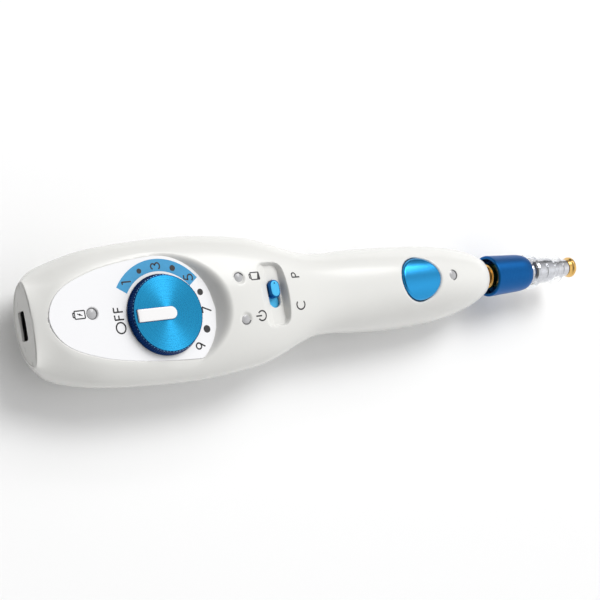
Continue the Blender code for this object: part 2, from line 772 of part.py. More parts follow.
def make_collar():
    profile = (
        (4.85, COLLAR_FRONT_X),
        (5.0, COLLAR_FRONT_X),
        (5.45, COLLAR_FRONT_X - 0.3),
        (5.8, COLLAR_FRONT_X - 0.9),
        (6.0, COLLAR_FRONT_X - 1.7),
        (COLLAR_FRONT_R, COLLAR_FRONT_X - 2.8),
        (COLLAR_REAR_R, COLLAR_REAR_X + 1.0),
        (COLLAR_REAR_R - 0.25, COLLAR_REAR_X),
        (5.7, COLLAR_REAR_X),
        (5.4, COLLAR_REAR_X + 3.2),
        (4.05, COLLAR_REAR_X + 4.4),
        (4.05, CARTRIDGE_X - 0.3),
        (4.85, CARTRIDGE_X - 0.1),
        (4.85, COLLAR_FRONT_X),
    )
    return turned("lock_collar", profile, "blue_satin", (0, 0, AXIS_Z), "X", 40)


def make_tip():
    centre = (0, 0, AXIS_Z)
    start = CARTRIDGE_X
    housing = (
        (3.25, 159.7),
        (4.4, 159.7),
        (4.8, 159.3),
        (4.8, 157.6),
        (4.45, 157.2),
        (4.45, 148.4),
        (5.9, 148.1),
        (5.9, 146.5),
        (4.6, 146.1),
        (4.6, start + 0.2),
        (3.3, start + 0.2),
        (3.3, 147.0),
        (4.15, 148.0),
        (4.15, 156.6),
        (3.25, 156.9),
        (3.25, 159.7),
    )
    turned("tip_housing", housing, "clear", centre, "X", 32)
    barrel = (
        (3.1, 156.5),
        (3.9, 156.5),
        (4.0, 156.2),
        (4.0, 148.6),
        (3.1, 148.0),
        (3.1, 143.6),
        (0.72, 143.6),
        (0.72, 149.6),
        (3.1, 152.6),
        (3.1, 156.5),
    )
    turned("tip_barrel", barrel, "chrome", centre, "X", 28)
    tube("tip_tube", 2.95, 1.5, 153.6, 164.0, "chrome", centre, "X", 24)
    nozzle = (
        (1.5, 167.0),
        (3.2, 167.0),
        (3.42, 166.7),
        (3.42, 165.9),
        (2.9, 165.2),
        (2.9, 164.2),
        (1.5, 164.2),
        (1.5, 167.0),
    )
    turned("tip_nozzle", nozzle, "gold", centre, "X", 28)
    needle = ((0, 166.4), (0.35, 164.4), (0.6, 163.0), (0.6, 144.0), (0, 144.0))
    turned("needle_electrode", needle, "steel", centre, "X", 12)


def main():
    make_upper_shell()
    make_lower_shell()
    make_face_plate()
    make_tail_plate()
    make_screws()
    make_dial()
    make_slider()
    make_button()
    make_lamps()
    make_board()
    make_usb_socket()
    make_battery()
    make_nose()
    make_collar()
    make_tip()


main()
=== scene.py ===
"""Looks of the cordless pulse pen handpiece: moulded casing, anodised dial, printed marks, lamps and tip.

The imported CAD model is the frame. Visible CAD pieces are replaced by finer meshes of the same size, in
millimetres here, and the hidden ones keep their CAD mesh and get a material.
"""

import json
import math

import bmesh
import bpy
import numpy as np
from mathutils import Matrix, Vector


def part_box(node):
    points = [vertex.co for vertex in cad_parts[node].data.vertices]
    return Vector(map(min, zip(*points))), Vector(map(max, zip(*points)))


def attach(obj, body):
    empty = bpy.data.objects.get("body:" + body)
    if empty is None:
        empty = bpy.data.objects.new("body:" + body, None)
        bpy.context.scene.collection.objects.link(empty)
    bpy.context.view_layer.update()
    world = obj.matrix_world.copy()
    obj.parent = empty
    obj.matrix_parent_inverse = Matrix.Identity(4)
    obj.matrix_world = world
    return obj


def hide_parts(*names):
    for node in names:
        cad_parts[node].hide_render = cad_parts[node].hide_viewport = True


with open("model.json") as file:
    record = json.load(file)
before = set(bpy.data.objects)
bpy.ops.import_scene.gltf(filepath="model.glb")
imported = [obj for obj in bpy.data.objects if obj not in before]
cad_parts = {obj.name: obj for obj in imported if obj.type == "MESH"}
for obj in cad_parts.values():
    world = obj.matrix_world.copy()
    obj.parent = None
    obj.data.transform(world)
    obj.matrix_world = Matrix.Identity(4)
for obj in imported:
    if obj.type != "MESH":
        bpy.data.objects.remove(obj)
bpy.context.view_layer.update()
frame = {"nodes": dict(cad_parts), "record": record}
MM = 0.001
NODES = frame["nodes"]
BODY_OF = {node: body for body, held in frame["record"]["behaviour"]["bodies"].items() for node in held}
SLOT_OF = {row["node"]: row["material_slot"] for row in frame["record"]["subparts"]}


def box_mm(node):
    """Lowest and highest corners of a CAD node, in millimetres."""
    low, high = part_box(node)
    return np.array(low) / MM, np.array(high) / MM


def centre_mm(node):
    low, high = box_mm(node)
    return (low + high) / 2


# ---- Driving dimensions, in millimetres ----

PLATE_Z = box_mm("face_plate")[1][2]
DIAL = centre_mm("dial_knob")[:2]
KNOB_LOW, KNOB_HIGH = box_mm("dial_knob")
KNOB_BASE_R = (KNOB_HIGH[0] - KNOB_LOW[0]) / 2
KNOB_TOP_R = KNOB_BASE_R - 0.65
KNOB_TOP_Z = KNOB_HIGH[2]
AXIS_Z = centre_mm("lock_collar")[2]
NOSE_X = box_mm("upper_shell")[1][0]
WALL = 1.6
SEAM_ANGLE = math.radians(-8)
SEAM_GAP = 0.3
PLATE_LAND = 0.6  # rim of casing left round the face plate

RECESS_R = 17.1
RECESS_TOP_R = 20.1
RECESS_DEPTH = 4.5
RECESS_START_X = -2.5  # the recess wall fades in from here
RECESS_FADE = 5.5
RECESS_BLEND = (0.7, 1.6)  # how softly the recess meets the skin, before the wall and at it
PLATE_DISC_R = RECESS_R - 0.12
SEAT_DEPTH = 0.5  # how far the casing is lowered under the face plate
SEAT_MARGIN = 0.05
SEAT_SLOPE_WIDTH = 0.3

POCKET = (36.0, 0)
POCKET_SIZE = (8.4, 19.0)
POCKET_CORNER = 2.6
POCKET_RAMP_X = 35.2  # the floor rises gently from here towards the dial
POCKET_RAMP = 0.66
POCKET_SIDE = 3.2
POCKET_ROUNDING = 0.5
POCKET_BLEND = 0.8
POCKET_FLOOR_Z = PLATE_Z + 1.0
SLOT_X, SLIDER_Y = centre_mm("switch_lever")[:2]
SLOT_SIZE = (3.9, 8.2)
SLOT_Y = 0.3
SLOT_LIP = 0.3
SLIDER_SIZE = (3.4, 5.2)
SLIDER_TOP_Z = box_mm("mode_slider")[1][2]

BUTTON = centre_mm("trigger_plunger")[:2]
BUTTON_R = (7.45, 6.7)
BUTTON_PROUD = 0.35
BUTTON_LIP = 0.9
BUTTON_EDGE = 0.5
LED_R = 1.5
DISH_DEPTH = 0.5  # the casing dips round each lamp
DISH_REACH = 0.55
DISH_SLOPE_WIDTH = 0.8
LEDS = {name: centre_mm(f"{name}_light_guide")[:2] for name in ("charge", "battery", "power", "pulse")}

# The casing's sections: x, half width, centre height, height above the centre, depth below it.
STATIONS = (
    (-39.5, 11.9, 18.7, 2.8, 6.4),
    (-38.0, 13.0, 17.2, 4.8, 7.4),
    (-35.0, 15.1, 15.0, 8.0, 8.4),
    (-30.0, 16.8, 14.2, 10.4, 10.4),
    (-22.0, 18.9, 16.0, 9.2, 15.3),
    (-12.0, 20.1, 16.8, 8.9, 17.3),
    (0.0, 20.8, 17.0, 9.1, 17.5),
    (12.0, 21.0, 17.0, 9.5, 17.5),
    (24.0, 20.2, 17.0, 10.3, 17.5),
    (36.0, 18.4, 17.2, 9.8, 17.2),
    (45.0, 15.2, 17.2, 9.3, 15.2),
    (52.0, 12.9, 17.0, 9.0, 13.5),
    (60.0, 12.3, 16.2, 9.5, 12.2),
    (70.0, 12.8, 14.3, 11.6, 11.8),
    (84.0, 13.1, 11.4, 14.9, 11.6),
    (98.0, 12.7, 10.2, 15.8, 10.7),
    (108.0, 11.8, 10.4, 14.7, 9.8),
    (115.0, 10.4, 11.2, 12.4, 8.3),
    (120.5, 8.6, 12.6, 9.3, 7.5),
    (124.4, 6.45, 13.5, 6.45, 6.45),
)
TAIL_X = STATIONS[0][0]
CASING_DEPTH = 17.5  # below its centre line, near the dial
TAIL_LEAN = 0.14
LEAN_END_X = -30.0
TAIL_PLATE_SET_BACK = 0.05
TAIL_PLATE_INSET = 0.62
SOCKET_MOUTH = (8.2, 2.9)
SOCKET_MOUTH_CORNER = 0.7

KNURL_TEETH = 110
KNURL_DEPTH = 0.14
# The notches split the painted glint round the knob's top edge into bright dots.
EDGE_NOTCHES = 68
NOTCH_DEPTH = 0.2
POINTER_SIZE = (12.4, 3.6)
POINTER_X = DIAL[0] - 3.6


# ---- Casing form ----


def smoothed_sections(step=0.5, passes=30):
    """The stations joined by a smooth curve, sampled along the pen: places and section values."""
    stations = np.array(STATIONS)
    x = stations[:, 0]
    places = np.arange(TAIL_X, NOSE_X + step / 2, step)
    slopes = np.gradient(stations[:, 1:], x, axis=0)
    index = np.clip(np.searchsorted(x, places, side="right") - 1, 0, len(x) - 2)
    span = (x[index + 1] - x[index])[:, None]
    t = (places - x[index])[:, None] / span
    near = stations[index, 1:]
    far = stations[index + 1, 1:]
    values = near * (1 + 2 * t) * (1 - t) ** 2 + slopes[index] * span * t * (1 - t) ** 2
    values += far * t * t * (3 - 2 * t) + slopes[index + 1] * span * t * t * (t - 1)
    for _ in range(passes):
        values[1:-1] = (values[:-2] + 2 * values[1:-1] + values[2:]) / 4
    values[:, 0] = np.minimum(values[:, 0], box_mm("upper_shell")[1][1])
    return places, values


SECTION_X, SECTION_VALUES = smoothed_sections()


def section(x):
    """Half width, centre height, top height and bottom depth of the casing at x."""
    return [np.interp(x, SECTION_X, SECTION_VALUES[:, column]) for column in range(4)]


def skin(x, angle, inset=0.0):
    """Points of the casing's plain skin. Angle 0 is at +Y, 90 degrees is on top."""
    width, centre, height, depth = section(x)
    rise = np.where(np.sin(angle) > 0, height, depth)
    y = (width - inset) * np.cos(angle)
    z = np.maximum(centre + (rise - inset) * np.sin(angle), inset)
    lean = TAIL_LEAN * np.clip((x - LEAN_END_X) / (TAIL_X - LEAN_END_X), 0, None)
    return x + lean * (z - centre), y, z


def skin_z(x, y):
    """Height of the plain skin above a point."""
    width, centre, height, _ = section(x)
    return centre + height * np.sqrt(np.clip(1 - (y / width) ** 2, 0, None))


def soft_min(a, b, reach):
    """The smaller of two heights, blended where they are closer than reach."""
    near = np.clip(reach - np.abs(a - b), 0, None) / reach
    return np.minimum(a, b) - near * near * reach / 4


def bar_distance(x, y, centre, size, corner):
    """Signed distance to a rectangle with round corners."""
    dx = np.abs(x - centre[0]) - (size[0] / 2 - corner)
    dy = np.abs(y - centre[1]) - (size[1] / 2 - corner)
    outside = np.hypot(np.clip(dx, 0, None), np.clip(dy, 0, None))
    return outside + np.minimum(np.maximum(dx, dy), 0) - corner


def slot_distance(x, y):
    return bar_distance(x, y, (SLOT_X, SLOT_Y), SLOT_SIZE, SLOT_SIZE[0] / 2)


def button_distance(x, y, grow=0.25):
    """About how far a point is outside the button's hole."""
    radii = np.array(BUTTON_R) + grow
    share = np.hypot((x - BUTTON[0]) / radii[0], (y - BUTTON[1]) / radii[1])
    return (share - 1) * radii.mean()


def led_distance(x, y, name):
    return np.hypot(x - LEDS[name][0], y - LEDS[name][1]) - LED_R


def plate_edge(x):
    """Half the face plate's width at x."""
    width, centre, height, _ = section(x)
    return width * np.sqrt(np.clip(1 - ((PLATE_Z - centre) / height) ** 2, 0, None)) - PLATE_LAND


def plate_distance(x, y):
    """About how far a point is outside the face plate."""
    slant = 0.8  # the edge runs askew to y, so the true distance is shorter
    side = (np.abs(y) - plate_edge(x)) * slant
    disc = np.hypot(x - DIAL[0], y - DIAL[1]) - PLATE_DISC_R
    return np.where(x < DIAL[0], side, np.maximum(side, disc))


def rounded_lip(distance, radius):
    """How far a hole's edge drops away where it is rounded."""
    inside = np.clip(radius - distance, 0, radius)
    return radius - np.sqrt(np.clip(radius**2 - inside**2, 0, None))


def carved(x, y, z):
    """The casing's height with its recess, pocket, holes and lamp dishes."""
    slope = RECESS_DEPTH / (RECESS_TOP_R - RECESS_R)
    out = np.hypot(x - DIAL[0], y - DIAL[1]) - RECESS_R
    share = np.clip((x - RECESS_START_X) / RECESS_FADE, 0, 1)
    wall = np.clip(out, 0, None) * slope * share * share * (3 - 2 * share)
    blend = RECESS_BLEND[0] + (RECESS_BLEND[1] - RECESS_BLEND[0]) * share
    z = soft_min(z, PLATE_Z + wall, blend)
    pocket = bar_distance(x, y, POCKET, POCKET_SIZE, POCKET_CORNER)
    steep = np.clip(pocket + POCKET_ROUNDING, 0, None) * POCKET_SIDE
    gentle = np.clip(POCKET_RAMP_X - x, 0, None) * POCKET_RAMP
    z = soft_min(z, POCKET_FLOOR_Z + np.maximum(steep, gentle), POCKET_BLEND)
    z = z - rounded_lip(slot_distance(x, y), SLOT_LIP)
    z = z - rounded_lip(button_distance(x, y), BUTTON_LIP)
    for name in ("battery", "power", "pulse"):
        dip = np.clip((DISH_REACH - led_distance(x, y, name)) / DISH_SLOPE_WIDTH, 0, 1)
        z = z - DISH_DEPTH * dip**1.5
    seat = np.clip((SEAT_MARGIN - plate_distance(x, y)) / SEAT_SLOPE_WIDTH, 0, 1)
    return z - SEAT_DEPTH * seat


# ---- Meshes ----


def new_object(name, bm, smooth=True, sharp=None, recalc=True):
    """An object from a mesh written in millimetres."""
    bmesh.ops.scale(bm, verts=bm.verts, vec=(MM, MM, MM))
    if recalc:
        bmesh.ops.recalc_face_normals(bm, faces=bm.faces)
    mesh = bpy.data.meshes.new(name)
    bm.to_mesh(mesh)
    bm.free()
    if smooth:
        mesh.shade_smooth()
    if sharp:
        mesh.set_sharp_from_angle(angle=math.radians(sharp))
    obj = bpy.data.objects.new(name, mesh)
    bpy.context.scene.collection.objects.link(obj)
    return obj


def move_origin(obj, origin):
    """Puts the object's origin at a point, in millimetres, without moving the mesh."""
    origin = Vector(origin) * MM
    obj.data.transform(Matrix.Translation(-origin))
    obj.location = origin
    return obj


REPLACED = set()  # the CAD nodes that a finer mesh stands for


def show(obj, material, node=None, body=None):
    """Gives a piece its material and its place in the model. It stands for the CAD node it names."""
    obj.data.materials.append(material)
    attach(obj, body or BODY_OF[node])
    if node:
        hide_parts(node)
        REPLACED.add(node)
    return obj


def grid_faces(bm, rows, closed):
    """Joins rows of vertices by quads. A closed grid also joins each row's end to its start."""
    for row, following in zip(rows, rows[1:]):
        last = len(row) if closed else len(row) - 1
        for index in range(last):
            step = (index + 1) % len(row)
            bm.faces.new((row[index], row[step], following[step], following[index]))


def closed_stack(bm, rows):
    """Joins rings of vertices, lowest first, and closes both ends."""
    grid_faces(bm, rows, True)
    bm.faces.new(rows[-1])
    bm.faces.new(list(reversed(rows[0])))


def lathe(name, profile, centre, along="Z", steps=96, radial=None):
    """Turns (radius, height) points about an axis. radial can shape the radius of each point."""
    bm = bmesh.new()
    rows = []
    for radius, height in profile:
        row = []
        for step in range(steps):
            angle = 2 * math.pi * step / steps
            reach = radial(angle, radius, height) if radial else radius
            flat = (reach * math.cos(angle), reach * math.sin(angle))
            place = (height, flat[0], flat[1]) if along == "X" else (flat[0], flat[1], height)
            row.append(bm.verts.new(np.add(centre, place)))
        rows.append(row)
    grid_faces(bm, rows, True)
    bmesh.ops.remove_doubles(bm, verts=bm.verts, dist=0.0005)
    return new_object(name, bm, sharp=38)


def rounded(points, radius=0.25, steps=4):
    """A profile with each inner corner replaced by a small arc."""
    result = [points[0]]
    for before, corner, after in zip(points, points[1:], points[2:]):
        before, corner, after = (np.array(point, float) for point in (before, corner, after))
        to_before = before - corner
        to_after = after - corner
        reach = min(radius, np.hypot(*to_before) * 0.45, np.hypot(*to_after) * 0.45)
        start = corner + to_before / np.hypot(*to_before) * reach
        end = corner + to_after / np.hypot(*to_after) * reach
        for step in range(steps + 1):
            t = step / steps
            result.append(tuple((1 - t) ** 2 * start + 2 * t * (1 - t) * corner + t * t * end))
    result.append(points[-1])
    return result


def outline_solid(name, outline, low, high, edge=0.2, steps=4):
    """An upright prism with a rounded top edge."""
    outline = np.array(outline)
    middle = outline.mean(axis=0)
    reach = np.hypot(*(outline - middle).T)
    bm = bmesh.new()
    rows = [[bm.verts.new((x, y, low)) for x, y in outline]]
    for step in range(steps + 1):
        turn = math.pi / 2 * step / steps
        inward = edge * (1 - math.cos(turn)) / reach[:, None]
        ring = outline + (middle - outline) * inward
        lift = high - edge * (1 - math.sin(turn))
        rows.append([bm.verts.new((x, y, lift)) for x, y in ring])
    top = outline + (middle - outline) * (edge / reach[:, None])
    for share in (0.8, 0.6, 0.4, 0.2):
        ring = middle + (top - middle) * share
        rows.append([bm.verts.new((x, y, high)) for x, y in ring])
    closed_stack(bm, rows)
    return new_object(name, bm, sharp=40)


def arc(centre, radii, start, end, steps=24):
    """Points along an ellipse from one angle to another, in degrees."""
    points = []
    for step in range(steps + 1):
        angle = math.radians(start + (end - start) * step / steps)
        points.append((centre[0] + radii[0] * math.cos(angle), centre[1] + radii[1] * math.sin(angle)))
    return points


def bar_outline(centre, size, corner, steps=10):
    """Points round a rectangle with round corners."""
    points = []
    for quarter, (side_x, side_y) in enumerate(((1, 1), (-1, 1), (-1, -1), (1, -1))):
        across = centre[0] + side_x * (size[0] / 2 - corner)
        up = centre[1] + side_y * (size[1] / 2 - corner)
        points += arc((across, up), (corner, corner), 90 * quarter, 90 * (quarter + 1), steps)
    kept = [points[0]]
    for point in points[1:]:
        if math.dist(point, kept[-1]) > 0.01:
            kept.append(point)
    return kept


def oval_outline(centre, radii, steps=96):
    return arc(centre, radii, 0, 360, steps)[:-1]


# ---- Materials ----


def add_node(tree, kind, **settings):
    """A new node. A setting is an input, with _ for a space in its name, or else a property."""
    made = tree.nodes.new(kind)
    for key, value in settings.items():
        socket = key.replace("_", " ")
        if socket in made.inputs:
            made.inputs[socket].default_value = value
        else:
            setattr(made, key, value)
    return made


class Finish:
    """A Principled material with helpers that add procedural detail to it."""

    def __init__(self, name, colour, metallic=0.0, roughness=0.4, **constants):
        self.material = bpy.data.materials.new(name)
        self.material.use_nodes = True
        self.tree = self.material.node_tree
        self.shader = self.tree.nodes["Principled BSDF"]
        constants.update(Base_Color=(*colour, 1), Metallic=metallic, Roughness=roughness)
        for socket, value in constants.items():
            self.shader.inputs[socket.replace("_", " ")].default_value = value
        self.places = self.tree.nodes.new("ShaderNodeTexCoord")

    def node(self, kind, **settings):
        return add_node(self.tree, kind, **settings)

    def link(self, output, target):
        self.tree.links.new(output, target)

    def stretched(self, scale):
        """Object coordinates stretched along one or two axes."""
        mapping = self.node("ShaderNodeMapping", Scale=scale)
        self.link(self.places.outputs["Object"], mapping.inputs["Vector"])
        return mapping.outputs["Vector"]

    def noise(self, scale, stretch=(1, 1, 1), detail=3.0):
        made = self.node("ShaderNodeTexNoise", Scale=scale, Detail=detail)
        self.link(self.stretched(stretch), made.inputs["Vector"])
        return made.outputs["Fac"]

    def span(self, source, low, high):
        """Maps a 0 to 1 signal onto a range."""
        made = self.node("ShaderNodeMapRange", To_Min=low, To_Max=high)
        self.link(source, made.inputs["Value"])
        return made.outputs["Result"]

    def vary_roughness(self, source, low, high):
        self.link(self.span(source, low, high), self.shader.inputs["Roughness"])

    def vary_colour(self, source, dark, light):
        mix = self.node("ShaderNodeMix", data_type="RGBA", A=(*dark, 1), B=(*light, 1))
        self.link(source, mix.inputs["Factor"])
        self.link(mix.outputs["Result"], self.shader.inputs["Base Color"])

    def bump(self, source, strength, distance_mm):
        made = self.node("ShaderNodeBump", Strength=strength, Distance=distance_mm * MM)
        self.link(source, made.inputs["Height"])
        self.link(made.outputs["Normal"], self.shader.inputs["Normal"])


def moulded(name, colour, roughness, coat=0.0, grain=900.0):
    """Moulded plastic: a faint ripple, slightly uneven gloss and colour."""
    made = Finish(name, colour, 0.0, roughness,
                  Coat_Weight=coat, Coat_Roughness=0.10, Specular_IOR_Level=0.42)
    made.vary_roughness(made.noise(60.0), roughness * 0.85, roughness * 1.2)
    lighter = tuple(min(1.0, c * 1.015) for c in colour)
    darker = tuple(c * 0.985 for c in colour)
    made.vary_colour(made.noise(25.0), darker, lighter)
    made.bump(made.noise(grain), 0.02, 0.02)
    return made.material


def brushed(name, dark, light, roughness, stretch, anisotropy=0.6):
    """Brushed and anodised metal with fine lines across the axis of the largest stretch."""
    made = Finish(name, light, 1.0, roughness, Anisotropic=anisotropy)
    lines = made.noise(900.0, stretch, 4.0)
    made.vary_colour(lines, dark, light)
    made.vary_roughness(lines, roughness * 0.8, roughness * 1.25)
    made.bump(lines, 0.08, 0.01)
    along = made.node("ShaderNodeCombineXYZ")
    for axis, amount in zip("XYZ", stretch):
        along.inputs[axis].default_value = 1.0 if amount == max(stretch) else 0.0
    made.link(along.outputs["Vector"], made.shader.inputs["Tangent"])
    return made.material


def spun(name, dark, light, roughness):
    """Metal turned on a lathe: fine rings about the object's own Z axis."""
    made = Finish(name, light, 1.0, roughness, Anisotropic=0.85, Anisotropic_Rotation=0.25)
    flat = made.stretched((1, 1, 0))
    length = made.node("ShaderNodeVectorMath", operation="LENGTH")
    made.link(flat, length.inputs[0])
    rings = made.node("ShaderNodeTexNoise", Scale=3500.0, Detail=3.0, noise_dimensions="1D")
    made.link(length.outputs["Value"], rings.inputs["W"])
    speckle = made.noise(2500.0)
    both = made.node("ShaderNodeMath", operation="ADD")
    made.link(rings.outputs["Fac"], both.inputs[0])
    made.link(speckle, both.inputs[1])
    half = made.node("ShaderNodeMath", operation="MULTIPLY")
    half.inputs[1].default_value = 0.5
    made.link(both.outputs["Value"], half.inputs[0])
    made.vary_colour(half.outputs["Value"], dark, light)
    made.vary_roughness(half.outputs["Value"], roughness * 0.85, roughness * 1.2)
    made.bump(half.outputs["Value"], 0.05, 0.01)
    tangent = made.node("ShaderNodeTangent", direction_type="RADIAL", axis="Z")
    made.link(tangent.outputs["Tangent"], made.shader.inputs["Tangent"])
    return made.material


def polished(name, colour, roughness):
    """Polished metal with faint turning marks and handling haze."""
    made = Finish(name, colour, 1.0, roughness)
    made.vary_roughness(made.noise(700.0), roughness * 0.7, roughness * 1.6)
    made.vary_colour(made.noise(350.0), tuple(c * 0.93 for c in colour), colour)
    made.bump(made.noise(1800.0, (6, 1, 1)), 0.01, 0.004)
    return made.material


def clear_plastic(name, tint, roughness=0.03):
    """Thin clear plastic: the coat makes its gloss, and a low IOR keeps what is inside in its place."""
    made = Finish(name, tint, 0.0, roughness, Transmission_Weight=1.0, IOR=1.06,
                  Coat_Weight=1.0, Coat_Roughness=0.03)
    made.vary_roughness(made.noise(200.0), roughness * 0.6, roughness * 1.8)
    made.bump(made.noise(90.0), 0.005, 0.01)
    return made.material


def ink(name, colour):
    """Printed ink, a little uneven."""
    made = Finish(name, colour, 0.0, 0.5)
    made.vary_colour(made.noise(1500.0), tuple(c * 0.85 for c in colour), colour)
    return made.material


MATERIALS = {
    "white_gloss": moulded("pearl_white_plastic", (0.735, 0.732, 0.708), 0.24, coat=0.12),
    "face_white": moulded("face_plate_white", (0.86, 0.86, 0.875), 0.38, grain=1600.0),
    "pointer": moulded("pointer_white", (0.86, 0.85, 0.85), 0.3, coat=0.3),
    "dial_top": spun("dial_spun_blue", (0.012, 0.20, 0.44), (0.036, 0.42, 0.74), 0.27),
    "dial_side": brushed("dial_side_blue", (0.002, 0.016, 0.08), (0.004, 0.035, 0.15), 0.35,
                         (1, 1, 8)),
    # A light blue ring painted as the glint of the knurl tips round the knob's top.
    "dial_painted_glint_edge": polished("dial_painted_glint_blue", (0.25, 0.62, 0.92), 0.3),
    "button": brushed("button_brushed_blue", (0.02, 0.25, 0.56), (0.04, 0.38, 0.76), 0.24,
                      (14, 1, 1), 0.7),
    # A lighter copy of the slider's blue: painted light on the cap's lit top and on the base that the
    # slot shades.
    "slider": brushed("slider_painted_light_blue", (0.07, 0.46, 0.82), (0.14, 0.64, 0.97), 0.5, (4, 1, 1), 0.2),
    "blue_satin": brushed("collar_satin_blue", (0.006, 0.09, 0.30), (0.012, 0.14, 0.42), 0.42,
                          (6, 1, 1), 0.3),
    "lens": moulded("lamp_lens", (0.42, 0.42, 0.43), 0.22, coat=0.6, grain=700.0),
    # Dark grey painted as the shade in the gap round each lamp lens.
    "lamp_painted_shade": moulded("lamp_painted_shade", (0.16, 0.16, 0.165), 0.5),
    "clear": clear_plastic("tip_clear", (0.97, 0.98, 0.99)),
    "chrome": polished("tip_chrome", (0.66, 0.66, 0.69), 0.07),
    "gold": polished("gilt_brass", (0.80, 0.50, 0.16), 0.20),
    "steel": polished("plain_steel", (0.58, 0.58, 0.60), 0.32),
    "board_green": moulded("solder_mask", (0.02, 0.15, 0.07), 0.4),
    "chip_black": moulded("black_moulding", (0.022, 0.022, 0.025), 0.5),
    "cell_foil": brushed("cell_foil", (0.45, 0.47, 0.50), (0.56, 0.58, 0.61), 0.4, (1, 5, 1), 0.2),
    "foam": moulded("foam", (0.10, 0.10, 0.10), 0.9),
    "copper": brushed("copper_winding", (0.45, 0.20, 0.08), (0.70, 0.34, 0.14), 0.35,
                      (1, 1, 20), 0.3),
    "wire_red": moulded("red_insulation", (0.42, 0.02, 0.02), 0.4),
    "wire_black": moulded("black_insulation", (0.015, 0.015, 0.015), 0.4),
    "wire_white": moulded("white_insulation", (0.72, 0.72, 0.70), 0.4),
    "print_grey": ink("print_grey", (0.028, 0.026, 0.028)),
    "print_blue": ink("print_blue", (0.045, 0.33, 0.62)),
}


# ---- Casing shells ----

EVEN_SHARE = 0.62  # the rest of the spacing is cubed, which crowds the columns at the crown
# Where the casing's rings stand closer, and how close: the pocket, the recess and the button.
FINE_RINGS = ((30.5, 42.5, 0.14), (-2.0, 30.5, 0.25), (82.0, 108.0, 0.25))
PLAIN_RING_STEP = 0.4
UPPER_COLUMNS = 168
LOWER_COLUMNS = 110


def ring_places():
    places = [TAIL_X]
    while places[-1] < NOSE_X - 0.05:
        x = places[-1]
        step = next((step for low, high, step in FINE_RINGS if low < x < high), PLAIN_RING_STEP)
        places.append(min(x + step, NOSE_X))
    return np.array(places)


def pierce(bm, distance, tolerance, depth, reach=0.7, probe=0.02):
    """Cuts a hole where distance(x, y) < 0 in the top of a fine skin, and gives it an inner wall."""
    lowest = PLATE_Z - 3
    top = [vert for vert in bm.verts if vert.co.z > lowest]
    inside = [vert for vert in top if distance(vert.co.x, vert.co.y) < -tolerance]
    bmesh.ops.delete(bm, geom=inside, context="VERTS")
    near = [vert for vert in bm.verts if vert.is_boundary and vert.co.z > lowest]
    rim = [vert for vert in near if distance(vert.co.x, vert.co.y) < reach]
    for vert in rim:
        for _ in range(3):
            x, y = vert.co.x, vert.co.y
            here = distance(x, y)
            slope = Vector((distance(x + probe, y) - here, distance(x, y + probe) - here)) / probe
            size = max(slope.length_squared, 0.05)
            vert.co.x -= here * slope.x / size
            vert.co.y -= here * slope.y / size
    on_rim = set(rim)
    rim_edges = [edge for edge in bm.edges if edge.is_boundary and on_rim.issuperset(edge.verts)]
    walls = bmesh.ops.extrude_edge_only(bm, edges=rim_edges)["geom"]
    lowered = [item for item in walls if isinstance(item, bmesh.types.BMVert)]
    bmesh.ops.translate(bm, verts=lowered, vec=(0, 0, -depth))


def shell_grid(start, end, columns, places, carve):
    """Rows of points of a casing half between two angles, closer together at its middle."""
    even = np.linspace(-1, 1, columns + 1)
    share = EVEN_SHARE * even + (1 - EVEN_SHARE) * even**3 if carve else even
    turns = (start + end) / 2 + (end - start) / 2 * share
    for x in places:
        along, y, z = skin(np.full_like(turns, x), turns)
        if carve:
            z = np.where(np.sin(turns) > 0, np.minimum(z, carved(along, y, z)), z)
        yield np.stack([along, y, z], axis=1)


def turned_in(row, centre, amount):
    """A row moved towards the casing's middle line."""
    spoke = centre - row
    spoke[:, 0] = 0
    return row + spoke / np.linalg.norm(spoke, axis=1, keepdims=True) * amount


def shifted(row, along):
    return row + np.array([along, 0, 0])


def close_ends(rows, edge=0.5, flatness=0.4, bulge=0.25, mouth=2.2):
    """Adds rounded edges and an inward rim at the tail and at the nose."""
    first = shifted(rows[0], edge * flatness)
    last = rows[-1]
    tail_middle = np.array([0, 0, section(TAIL_X)[1]])
    nose_middle = np.array([0, 0, AXIS_Z])
    before = []
    for turn in (1.0, 0.75, 0.5, 0.25):
        angle = math.pi / 2 * turn
        row = turned_in(first, tail_middle, edge * (1 - math.cos(angle)))
        before.append(shifted(row, -edge * math.sin(angle) * flatness))
    rim = turned_in(before[0], tail_middle, 0.1)
    inside = shifted(rim, WALL)
    after = [shifted(turned_in(last, nose_middle, edge * share), shift)
             for share, shift in ((0.15, 0.12), (0.5, 0.22), (1.0, bulge))]
    after += [shifted(turned_in(last, nose_middle, mouth), shift) for shift in (bulge, -1.5)]
    return [inside, rim, *before, first, *rows[1:], *after]


def with_seam_lips(rows, depth=1.1, soft=0.12):
    """Turns the long edges of a half inwards, so that the seam reads as a groove."""
    round_off = 0.15
    lipped = []
    for row in rows:
        middle = np.array([row[0][0], 0, (row[0][2] + row[-1][2]) / 2])
        ends = []
        for corner in (row[0], row[-1]):
            inward = (middle - corner) / np.linalg.norm(middle - corner)
            ends.append((corner + inward * soft, corner + inward * depth))
        start = [ends[0][1], ends[0][0] + (row[0] - row[1]) * round_off]
        finish = [ends[1][0] + (row[-1] - row[-2]) * round_off, ends[1][1]]
        lipped.append(np.vstack([start, row, finish]))
    return lipped


def shell_mesh(name, rows, holes=()):
    """A half of the casing from its rows of points, with its holes."""
    bm = bmesh.new()
    made = [[bm.verts.new(point) for point in row] for row in rows]
    grid_faces(bm, made, False)
    bmesh.ops.recalc_face_normals(bm, faces=bm.faces)
    for distance, tolerance, depth in holes:
        pierce(bm, distance, tolerance, depth)
    return new_object(name, bm, sharp=50)


